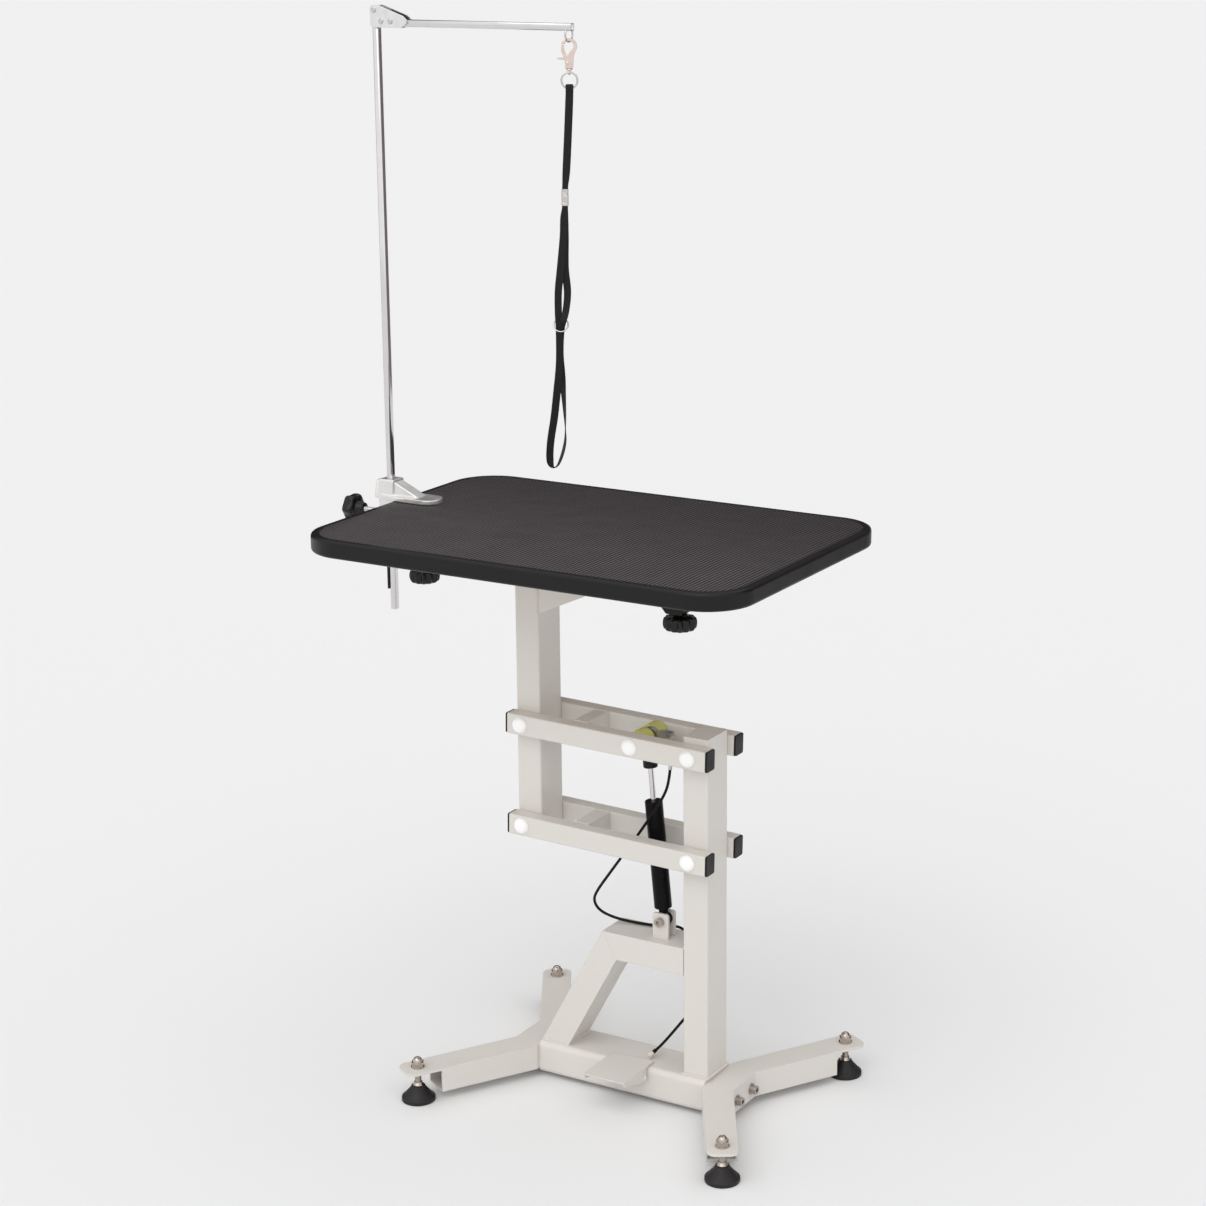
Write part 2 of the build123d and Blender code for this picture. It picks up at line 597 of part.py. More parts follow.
rail_xs = (upper_column_x, 148)
rail_length, rail_width = 380, 40
with BuildPart() as top_rails:
    for x in rail_xs:
        with BuildSketch(Plane((x, 0, upper_column_top))):
            RectangleRounded(rail_width, rail_length, 8)
        extrude(amount=table_top - table_thick + board_gap - upper_column_top)
save("top_rails", top_rails)

# The top lock: a bracket under the beam's end and a hand knob whose stud goes up into it
lock_x, lock_bracket_bottom, lock_knob_top, lock_knob_bottom = 191, 747, 741, 721
lock_knob_radius, lock_stud_radius = 24.5, 5
beam_underside = upper_column_top - top_beam_shallow
with BuildPart() as lock_bracket:
    with BuildSketch(Plane.XZ.offset(-lock_bracket_width / 2)):
        Polygon(
            (lock_x - 23, beam_underside), (lock_x - 23, lock_bracket_bottom + 12),
            (lock_x - 12, lock_bracket_bottom), (lock_x + 12, lock_bracket_bottom),
            (lock_x + 23, lock_bracket_bottom + 20), (lock_x + 23, beam_underside),
            align=None,
        )
    extrude(amount=lock_bracket_width)
    with Locations((lock_x, 0, lock_bracket_bottom + lock_stud_length / 2)):
        Cylinder(lock_stud_radius + fit, lock_stud_length, mode=Mode.SUBTRACT)
save("lock_bracket", lock_bracket)


with BuildPart() as lock_knob:
    knob_plane = Plane((lock_x, 0, lock_knob_bottom))
    with BuildSketch(knob_plane):
        Circle(lock_knob_radius)
        with PolarLocations(lock_knob_radius + flute_offset, 16):
            Circle(flute_radius, mode=Mode.SUBTRACT)
    extrude(amount=lock_knob_top - lock_knob_bottom)
    fillet(lock_knob.edges().group_by(Axis.Z)[0], 1.5)
    with BuildSketch(Plane((lock_x, 0, lock_knob_top))):
        Circle(knob_hub_radius)
    extrude(amount=lock_hub_height)
    with BuildSketch(Plane((lock_x, 0, lock_knob_top))):
        Circle(lock_stud_radius)
    extrude(amount=lock_stud_length)
save("lock_knob", lock_knob)

# ---------------------------------------------------------------- arm clamp
collar_left = post_x - collar_side / 2
collar_right = post_x + collar_side / 2
collar_front = arm_y - collar_side / 2
hole_side = post_side + 2 * post_hole_gap
jaw_mid_x = (collar_right + jaw_tip_x) / 2

with BuildPart() as clamp_body:
    with BuildSketch(Plane.XZ.offset(-collar_front - collar_side)):
        Polygon(
            (collar_left, clamp_floor), (screw_x + 15, clamp_floor),
            (screw_x + 15, clamp_floor + clamp_arm_thick), (collar_right - 1, clamp_floor + clamp_arm_thick),
            (collar_right - 1, table_top), (collar_right, collar_top),
            (collar_left, collar_top), align=None,
        )
    extrude(amount=collar_side)
    fillet(clamp_body.edges().group_by(Axis.Z)[-1], 2)
    with BuildSketch(Plane((0, arm_y, table_top))):
        with BuildLine():
            Polyline(
                (jaw_tip_x - 18, -jaw_width / 2), (jaw_mid_x - 12, -jaw_width / 2),
                (collar_right - 2, -collar_side / 2), (collar_right - 2, collar_side / 2),
                (jaw_mid_x - 12, jaw_width / 2), (jaw_tip_x - 18, jaw_width / 2),
            )
            ThreePointArc(
                (jaw_tip_x - 18, jaw_width / 2), (jaw_tip_x, 0), (jaw_tip_x - 18, -jaw_width / 2)
            )
        make_face()
    extrude(amount=jaw_thick)
    with BuildSketch(Plane.XZ.offset(-arm_y - rib_width / 2)):
        Polygon(
            (collar_right - 1, table_top + jaw_thick - 1), (jaw_mid_x + 8, table_top + jaw_thick - 1),
            (collar_right - 1, collar_top - 3), align=None,
        )
    extrude(amount=rib_width)
    with BuildSketch(Plane((post_x, arm_y, clamp_floor))):
        Rectangle(hole_side, hole_side)
    extrude(amount=collar_top - clamp_floor, mode=Mode.SUBTRACT)
    with Locations((screw_x, arm_y, clamp_floor + clamp_arm_thick / 2)):
        Cylinder(clamp_screw_radius + fit, clamp_arm_thick, mode=Mode.SUBTRACT)
    with BuildSketch(Plane((collar_left, arm_y, post_knob_z), z_dir=(-1, 0, 0))):
        RegularPolygon(knob_boss, 6, major_radius=False)
    extrude(amount=knob_boss)
    with BuildSketch(Plane((collar_left - knob_boss, arm_y, post_knob_z), z_dir=(1, 0, 0))):
        Circle(bolt_radius + fit)
    extrude(amount=knob_boss + collar_side / 2 - hole_side / 2, mode=Mode.SUBTRACT)
save("clamp_body", clamp_body)

with BuildPart() as post_knob:
    with BuildSketch(Plane((post_knob_face, arm_y, post_knob_z), z_dir=(-1, 0, 0))):
        Circle(post_knob_radius)
        with PolarLocations(post_knob_radius + lobe_gap_offset, 6):
            Circle(lobe_gap_radius, mode=Mode.SUBTRACT)
    extrude(amount=post_knob_thick)
    fillet(post_knob.edges().group_by(Axis.X)[0], 2)
    with BuildSketch(Plane((post_knob_face, arm_y, post_knob_z), z_dir=(1, 0, 0))):
        Circle(post_hub_radius)
    extrude(amount=post_hub_height)
    with BuildSketch(Plane((post_knob_face, arm_y, post_knob_z), z_dir=(1, 0, 0))):
        Circle(bolt_radius)
    extrude(amount=post_x - hole_side / 2 - post_knob_face)
save("post_knob", post_knob)

# The clamp screw, its knob below and its pad against the underside of the tabletop
with BuildPart() as clamp_screw:
    with BuildSketch(Plane((screw_x, arm_y, clamp_knob_bottom))):
        Circle(clamp_knob_radius)
        with PolarLocations(clamp_knob_radius + flute_offset, 14):
            Circle(flute_radius, mode=Mode.SUBTRACT)
    extrude(amount=clamp_knob_top - clamp_knob_bottom)
    fillet(clamp_screw.edges().group_by(Axis.Z)[0], 1.5)
    with BuildSketch(Plane((screw_x, arm_y, clamp_knob_top))):
        Circle(knob_hub_radius)
    extrude(amount=clamp_hub_height)
    with BuildSketch(Plane((screw_x, arm_y, clamp_knob_top))):
        Circle(clamp_screw_radius)
    extrude(amount=clamp_pad_bottom - clamp_knob_top)
    with BuildSketch(Plane((screw_x, arm_y, clamp_pad_bottom))):
        Circle(clamp_pad_radius)
    extrude(amount=table_top - table_thick - fit - clamp_pad_bottom)
save("clamp_screw", clamp_screw)

# ---------------------------------------------------------------- post, knuckle and boom
with BuildPart() as post:
    with BuildSketch(Plane((post_x, arm_y, post_bottom))):
        RectangleRounded(post_side, post_side, 1.2)
        Rectangle(post_side - 2.4, post_side - 2.4, mode=Mode.SUBTRACT)
    extrude(amount=post_top - post_bottom)
    with Locations(Plane((post_x, arm_y, knuckle_pivot_z), z_dir=(0, 1, 0))):
        Cylinder(rivet_radius + fit, post_side, mode=Mode.SUBTRACT)
save("arm_post", post)

rivet_places = [(post_x, knuckle_pivot_z), (post_x + 12, boom_z + 2), (post_x + 28, boom_z + 2)]
sheet_inner = post_side / 2 + 0.2
knuckle_left, knuckle_right = post_x - 6.5, post_x + 56
with BuildPart() as knuckle:
    for y in (arm_y - sheet_inner - knuckle_sheet, arm_y + sheet_inner):
        with BuildSketch(Plane.XZ.offset(-y - knuckle_sheet)):
            Polygon(
                (knuckle_left, knuckle_bottom), (knuckle_right - 10, knuckle_bottom),
                (knuckle_right, knuckle_bottom + 6), (knuckle_right, knuckle_bottom + 12),
                (knuckle_right - 6, knuckle_bottom + 17), (post_x + 8, knuckle_top),
                (knuckle_left, knuckle_top), align=None,
            )
        extrude(amount=knuckle_sheet)
    sheet_corners = knuckle.edges().filter_by(Axis.Y)
    fillet(sheet_corners.filter_by(lambda e: e.center().X < knuckle_left + 1), 5)
    with BuildSketch(Plane((0, arm_y, knuckle_bottom))):
        with Locations(((boom_start_x + knuckle_right - 10) / 2, 0)):
            Rectangle(knuckle_right - 10 - boom_start_x, 2 * sheet_inner + 2 * knuckle_sheet)
    extrude(amount=knuckle_sheet)
    for x, z in rivet_places:
        with Locations(Plane((x, arm_y, z), z_dir=(0, 1, 0))):
            Cylinder(rivet_radius, 2 * post_side, mode=Mode.SUBTRACT)
save("knuckle", knuckle)

with BuildPart() as boom:
    with BuildSketch(Plane((boom_start_x, arm_y, boom_z), x_dir=(0, 1, 0), z_dir=(1, 0, 0))):
        RectangleRounded(post_side, post_side, 1.2)
        Rectangle(post_side - 2.4, post_side - 2.4, mode=Mode.SUBTRACT)
    extrude(amount=boom_end_x - boom_start_x)
    with Locations(Plane((hang_x, arm_y, boom_hole_z), z_dir=(0, 1, 0))):
        Cylinder(boom_hole_radius, post_side, mode=Mode.SUBTRACT)
    for x, z in rivet_places[1:]:
        with Locations(Plane((x, arm_y, z), z_dir=(0, 1, 0))):
            Cylinder(rivet_radius, post_side, mode=Mode.SUBTRACT)
save("arm_boom", boom)

rivet_half = sheet_inner + knuckle_sheet
with BuildPart() as rivets:
    for x, z in rivet_places:
        with Locations(Plane((x, arm_y, z), z_dir=(0, 1, 0))):
            Cylinder(rivet_radius, 2 * rivet_half)
        for side in (-1, 1):
            with BuildSketch(Plane((x, arm_y + side * rivet_half, z), z_dir=(0, side, 0))):
                Circle(rivet_head_radius)
            extrude(amount=rivet_head_height, taper=20)
save("knuckle_rivets", rivets)

# ---------------------------------------------------------------- pedal
# A folded sheet: a flat tread with a flange down each side, and the pin that it turns on
with BuildPart() as pedal:
    with BuildSketch(Plane((pedal_x, (pedal_front + pedal_rear) / 2, pedal_top - pedal_sheet))):
        Rectangle(pedal_width, pedal_rear - pedal_front)
    extrude(amount=pedal_sheet)
    fillet(pedal.edges().filter_by(Axis.Z), pedal_round)
    for x in (pedal_x - pedal_half, pedal_x + pedal_half - pedal_sheet):
        with BuildSketch(Plane((x, 0, 0), x_dir=(0, 1, 0), z_dir=(1, 0, 0))):
            Polygon(
                (pedal_front + pedal_round, pedal_top - 1), (pedal_front + pedal_round, flange_front_low),
                (pedal_pivot_y - 11, flange_low + 2), (pedal_pivot_y - 3, flange_low),
                (flange_rear - 2, flange_low), (flange_rear, flange_low + 3.5),
                (flange_rear, pedal_top - 1), align=None,
            )
        extrude(amount=pedal_sheet)
    with Locations(Plane((pedal_x, pedal_pivot_y, pedal_pivot_z), z_dir=(1, 0, 0))):
        Cylinder(pedal_pin_radius, pedal_width)
    for side in (-1, 1):
        pin_end = Plane((pedal_x + side * pedal_half, pedal_pivot_y, pedal_pivot_z), z_dir=(side, 0, 0))
        with BuildSketch(pin_end):
            Circle(pin_head_radius)
        extrude(amount=pin_head_height, taper=30)
save("pedal", pedal)

# ---------------------------------------------------------------- release cable
cable_radii = []
for before, corner, after in zip(cable_route, cable_route[1:], cable_route[2:]):
    run_in = corner - before
    run_out = after - corner
    half_turn = radians(run_in.get_angle(run_out)) / 2
    cable_radii.append(0.45 * min(run_in.length, run_out.length) / tan(half_turn))

with BuildPart() as release_cable:
    with BuildLine() as cable_line:
        FilletPolyline(*cable_route, radius=cable_radii)
    with BuildSketch(Plane(cable_route[0], z_dir=cable_route[1] - cable_route[0])):
        Circle(cable_radius)
    sweep()
save("release_cable", release_cable)
print("cable radii", [round(radius, 1) for radius in cable_radii])
cable_length = cable_line.wire().length
section_area = pi * cable_radius ** 2
print("cable length", round(cable_length), "volume ratio", release_cable.part.volume / (section_area * cable_length))

# ---------------------------------------------------------------- snap hook
hang_dir = (cos(radians(hang_turn)), sin(radians(hang_turn)), 0)
hang_out = (sin(radians(hang_turn)), -cos(radians(hang_turn)), 0)
hang = Plane((hang_x, arm_y, 0), x_dir=hang_dir, z_dir=hang_out)

with BuildPart() as hook_ring:
    with Locations(Plane((hang_x, arm_y, ring_z), z_dir=(1, 0, 0))):
        Torus(ring_radius, ring_wire)
save("hook_ring", hook_ring)

gate_top = 1521
with BuildPart() as snap_body:
    with BuildSketch(hang):
        with Locations((0, hook_z)):
            Circle(hook_radius)
        Polygon(
            (-9, hook_z - 5), (-6.4, 1506), (-5.4, hook_bottom), (5.4, hook_bottom), (6.4, 1506),
            (9, hook_z - 5), align=None,
        )
        with Locations((0, hook_eye_z)):
            Circle(hook_eye_radius, mode=Mode.SUBTRACT)
        Polygon((-5, 1516.5), (-1, 1508.6), (5, 1516.5), align=None, mode=Mode.SUBTRACT)
        Polygon((-14, gate_top + 0.4), (-14, 1508), (-0.6, 1508), (-0.6, 1514.5), (-4.5, gate_top + 2),
                align=None, mode=Mode.SUBTRACT)
    extrude(amount=hook_half, both=True)
    with BuildSketch(hang):
        Polygon((-14, 1493.2), (1.5, 1493.2), (1.5, 1511), (-14, 1511), align=None)
    extrude(amount=trigger_slot, both=True, mode=Mode.SUBTRACT)
    with Locations(hang * Pos(rivet_u, rivet_z)):
        Cylinder(hook_rivet_radius, 2 * hook_half + 1.4)
    with BuildSketch(Plane((hang_x, arm_y, hook_bottom))):
        Circle(eye_stud_radius + fit)
    extrude(amount=3.4, mode=Mode.SUBTRACT)
save("snap_body", snap_body)

# The gate closes the hook's side. Its tail turns on the rivet and its thumb lever stands out
with BuildPart() as snap_trigger:
    with BuildSketch(hang):
        Polygon(
            (-10.6, gate_top), (-6.9, gate_top), (-6.2, 1515), (-4.6, 1509.5), (-3, 1508),
            (0, 1500), (-2, 1494.2), (-4.6, 1495.5), (-8.5, 1507.5), (-10.8, 1513), align=None,
        )
        Polygon((-5.5, 1500.8), (-16.5, 1502), (-16.5, 1504), (-6.5, 1504), align=None)
        with Locations((rivet_u, rivet_z)):
            Circle(hook_rivet_radius + fit, mode=Mode.SUBTRACT)
    extrude(amount=trigger_half, both=True)
save("snap_trigger", snap_trigger)

with BuildPart() as swivel_eye:
    with Locations(Plane((hang_x, arm_y, eye_z), x_dir=hang_out, z_dir=hang_dir)):
        Torus(eye_radius, eye_wire)
    with BuildSketch(Plane((hang_x, arm_y, eye_z + eye_radius))):
        Circle(eye_stud_radius)
    extrude(amount=hook_bottom + 3.2 - eye_z - eye_radius)
save("swivel_eye", swivel_eye)

with BuildPart() as o_ring:
    with Locations(Plane((hang_x, arm_y, o_ring_z), z_dir=hang_out)):
        Torus(o_ring_radius, o_ring_wire)
save("o_ring", o_ring)

# ---------------------------------------------------------------- strap
# Two plies of webbing, seen broad side on, as one plate with the gaps between the plies
fold_top, fold_inner_top = 1466.5, 1465
strap_left = [
    (-5.4, ply_split), (-10.6, 1335), (-12.2, 1327), (-12.2, 1300), (-15.2, 1285), (-16.1, 1260),
    (-21.1, 1211), (-23.8, 1183), (-24.3, 1149), (-23.6, 1135), (-24, 1118), (-24.1, 1085),
    (-25.2, 1068), (-32.1, 1002), (-37, 973), (-39.3, 953), (-39.6, 938), (-31.1, 926.5),
]
strap_right = [
    (-25.5, 926.5), (-19.1, 938), (-13.1, 956), (-10.1, 973), (-10.7, 987), (-10.7, 1050),
    (-12.9, 1085), (-12.9, 1101), (-10.9, 1118), (-8.9, 1135), (-7.6, 1142), (-5.3, 1149),
    (-2.1, 1181), (-2.4, 1193), (-4, 1211), (-3.7, 1260), (-4.5, 1285), (-4.2, 1300),
    (-4.2, 1327), (-3.1, 1335), (5.4, ply_split),
]
neck_gap = [
    (-17.8, 1042), (-22.5, 1004), (-25, 987), (-27.2, 974), (-29.6, 958), (-29.5, 939),
    (-22.1, 939), (-16.7, 958), (-13.8, 974), (-12.9, 987), (-13.9, 1004),
]
upper_gap = [(-12.6, 1194), (-14.1, 1170), (-15.1, 1150), (-13.7, 1150), (-11.9, 1170)]

with BuildPart() as strap:
    with BuildSketch(hang):
        Polygon(*strap_left, *strap_right, align=None)
        Polygon(*neck_gap, align=None, mode=Mode.SUBTRACT)
        Polygon(*upper_gap, align=None, mode=Mode.SUBTRACT)
    extrude(amount=strap_half, both=True)
    with BuildSketch(hang):
        with Locations((0, (fold_top + ply_split) / 2)):
            Rectangle(10.8, fold_top - ply_split)
    extrude(amount=fold_half, both=True)
    with BuildSketch(hang):
        with Locations((0, (fold_inner_top + ply_split) / 2 + 1.5)):
            Rectangle(14, fold_inner_top - ply_split - 3)
    extrude(amount=fold_inner, both=True, mode=Mode.SUBTRACT)
save("strap", strap)

ferrule_u = -8.2
with BuildPart() as strap_ferrule:
    with BuildSketch(Plane((hang_x, arm_y, ferrule_bottom), x_dir=hang_dir, z_dir=(0, 0, 1))):
        with Locations((ferrule_u, 0)):
            RectangleRounded(10.6, 6, 2)
            Rectangle(8.4, 2 * strap_half + 0.4, mode=Mode.SUBTRACT)
    extrude(amount=ferrule_top - ferrule_bottom)
save("strap_ferrule", strap_ferrule)

slider_centre = hang.from_local_coords(Vector(slider_u, slider_z))
slider_axis = Vector(*hang_out) * sin(radians(slider_tilt)) + Vector(0, 0, 1) * cos(radians(slider_tilt))
with BuildPart() as strap_slider:
    with Locations(Plane(slider_centre, z_dir=slider_axis)):
        Torus(slider_radius, slider_wire)
save("strap_slider", strap_slider)
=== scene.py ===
"""Looks for the pet grooming table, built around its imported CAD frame. Metres, +Z up."""
import json
from math import cos, pi, radians, sin, sqrt

import bpy
import bmesh
from mathutils import Matrix, Vector


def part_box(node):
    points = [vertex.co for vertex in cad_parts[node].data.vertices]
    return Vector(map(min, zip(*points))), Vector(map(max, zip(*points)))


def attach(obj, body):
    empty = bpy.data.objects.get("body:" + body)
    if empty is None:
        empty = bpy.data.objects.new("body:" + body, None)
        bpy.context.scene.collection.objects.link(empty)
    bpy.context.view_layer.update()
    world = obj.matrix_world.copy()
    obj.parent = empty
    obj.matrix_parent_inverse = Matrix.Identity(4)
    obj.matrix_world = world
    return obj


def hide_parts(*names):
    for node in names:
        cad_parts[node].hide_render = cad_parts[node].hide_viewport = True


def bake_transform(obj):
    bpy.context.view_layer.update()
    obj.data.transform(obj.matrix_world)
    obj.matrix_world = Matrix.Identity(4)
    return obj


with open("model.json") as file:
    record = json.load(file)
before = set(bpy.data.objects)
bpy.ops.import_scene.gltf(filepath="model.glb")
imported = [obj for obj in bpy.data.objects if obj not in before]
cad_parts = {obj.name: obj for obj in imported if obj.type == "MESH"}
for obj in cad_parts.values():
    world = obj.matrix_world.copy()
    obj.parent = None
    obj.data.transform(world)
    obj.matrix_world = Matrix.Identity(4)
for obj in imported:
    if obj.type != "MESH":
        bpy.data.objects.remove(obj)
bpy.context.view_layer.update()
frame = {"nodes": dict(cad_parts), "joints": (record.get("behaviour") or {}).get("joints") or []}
MM = 0.001
PLACES = ("front_left", "front_right", "rear_left", "rear_right")
AXIS_X, AXIS_Y, AXIS_Z = Vector((1, 0, 0)), Vector((0, 1, 0)), Vector((0, 0, 1))
nodes = frame["nodes"]
joint_at = {joint["name"]: Vector(joint["pos_m"]) for joint in frame["joints"] if "pos_m" in joint}


def middle(name):
    """The centre of a CAD node's box."""
    low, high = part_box(name)
    return (Vector(low) + Vector(high)) / 2


# ---------------------------------------------------------------- camera, light and floor
def place_camera():
    """A long lens, at the right and a little above the tabletop."""
    turn, drop, roll = radians(30.23), radians(15.28), radians(-0.32)
    back = Vector((sin(turn) * cos(drop), -cos(turn) * cos(drop), sin(drop)))
    right = Vector((cos(turn), sin(turn), 0))
    up = back.cross(right)
    rolled_right = right * cos(roll) + up * sin(roll)
    rolled_up = up * cos(roll) - right * sin(roll)
    data = bpy.data.cameras.new("camera")
    data.sensor_width = 36
    data.lens = 77.78
    data.shift_x = -0.0333
    data.clip_end = 400
    camera = bpy.data.objects.new("camera", data)
    bpy.context.collection.objects.link(camera)
    turned = Matrix((rolled_right, rolled_up, back)).transposed().to_4x4()
    camera.matrix_world = Matrix.Translation((1.9223, -3.0736, 1.7236)) @ turned
    bpy.context.scene.camera = camera


def light_studio():
    """A pale surround, brighter in front, above and at the right, dark behind, with one soft key in front."""
    world = bpy.data.worlds.new("studio")
    world.use_nodes = True
    tree = world.node_tree
    tree.nodes.clear()
    output = tree.nodes.new("ShaderNodeOutputWorld")
    background = tree.nodes.new("ShaderNodeBackground")
    coordinate = tree.nodes.new("ShaderNodeTexCoord")
    split = tree.nodes.new("ShaderNodeSeparateXYZ")
    tree.links.new(coordinate.outputs["Generated"], split.inputs[0])

    def ramp(source, low, high):
        node = tree.nodes.new("ShaderNodeMapRange")
        node.interpolation_type = "SMOOTHSTEP"
        node.inputs["From Min"].default_value = low
        node.inputs["From Max"].default_value = high
        tree.links.new(source, node.inputs["Value"])
        return node.outputs["Result"]

    def times(a, b):
        node = tree.nodes.new("ShaderNodeMath")
        node.operation = "MULTIPLY"
        tree.links.new(a, node.inputs[0])
        tree.links.new(b, node.inputs[1])
        return node.outputs[0]

    def brighter(value, amount, onto=None):
        """A value times an amount, added to another value or to an even glow of one."""
        node = tree.nodes.new("ShaderNodeMath")
        node.operation = "MULTIPLY_ADD"
        tree.links.new(value, node.inputs[0])
        node.inputs[1].default_value = amount
        node.inputs[2].default_value = 1.0
        if onto:
            tree.links.new(onto, node.inputs[2])
        return node.outputs[0]

    behind = ramp(split.outputs["Y"], 0.15, 0.5)
    above_floor = ramp(split.outputs["Z"], 0.0, 0.03)
    below_ceiling = ramp(split.outputs["Z"], 0.7, 0.45)
    dark = times(times(behind, above_floor), below_ceiling)
    glow = brighter(ramp(split.outputs["Y"], 0.1, -0.8), 0.58)
    glow = brighter(ramp(split.outputs["Z"], 0.45, 1.0), 0.66, glow)
    glow = brighter(ramp(split.outputs["X"], 0.1, 0.9), 0.3, glow)
    glow = brighter(dark, -0.93, glow)
    combine = tree.nodes.new("ShaderNodeCombineXYZ")
    for socket in combine.inputs:
        tree.links.new(glow, socket)
    tree.links.new(combine.outputs[0], background.inputs["Color"])
    background.inputs["Strength"].default_value = 0.665
    tree.links.new(background.outputs[0], output.inputs[0])
    bpy.context.scene.world = world

    sun = bpy.data.lights.new("key", "SUN")
    sun.energy = 0.5
    sun.angle = radians(50)
    key = bpy.data.objects.new("key", sun)
    key.rotation_euler = Vector((0.05, -0.85, 0.95)).to_track_quat("Z", "Y").to_euler()
    bpy.context.collection.objects.link(key)
    bpy.context.scene.view_settings.view_transform = "Standard"


def stand_flag(name, centre, facing, width, height, tone):
    """A dark flag outside the picture, seen only in reflections, which gives the chrome its dark side."""
    facing = Vector(facing).normalized()
    side = AXIS_Z.cross(facing)
    centre = Vector(centre)
    verts = [centre + side * (sx * width / 2) + AXIS_Z * (height / 2 * (1 + sz)) for sx, sz in
             ((-1, -1), (1, -1), (1, 1), (-1, 1))]
    flag = add_piece(name, verts, [(0, 1, 2, 3)], moulded_black(f"{name}_cloth", 0.9, tone), smooth=False)
    flag.visible_camera = False
    flag.visible_diffuse = False
    flag.visible_shadow = False


def lay_floor():
    """A seamless pale floor that fills the view."""
    reach = 90
    mesh = bpy.data.meshes.new("floor")
    corners = [(-reach, -reach, 0), (reach, -reach, 0), (reach, reach, 0), (-reach, reach, 0)]
    mesh.from_pydata(corners, [], [(0, 1, 2, 3)])
    floor = bpy.data.objects.new("floor", mesh)
    bpy.context.collection.objects.link(floor)
    material = bpy.data.materials.new("floor_paper")
    material.use_nodes = True
    shader = material.node_tree.nodes["Principled BSDF"]
    shader.inputs["Base Color"].default_value = (0.83, 0.83, 0.835, 1)
    shader.inputs["Roughness"].default_value = 0.95
    shader.inputs["Specular IOR Level"].default_value = 0.0
    mesh.materials.append(material)


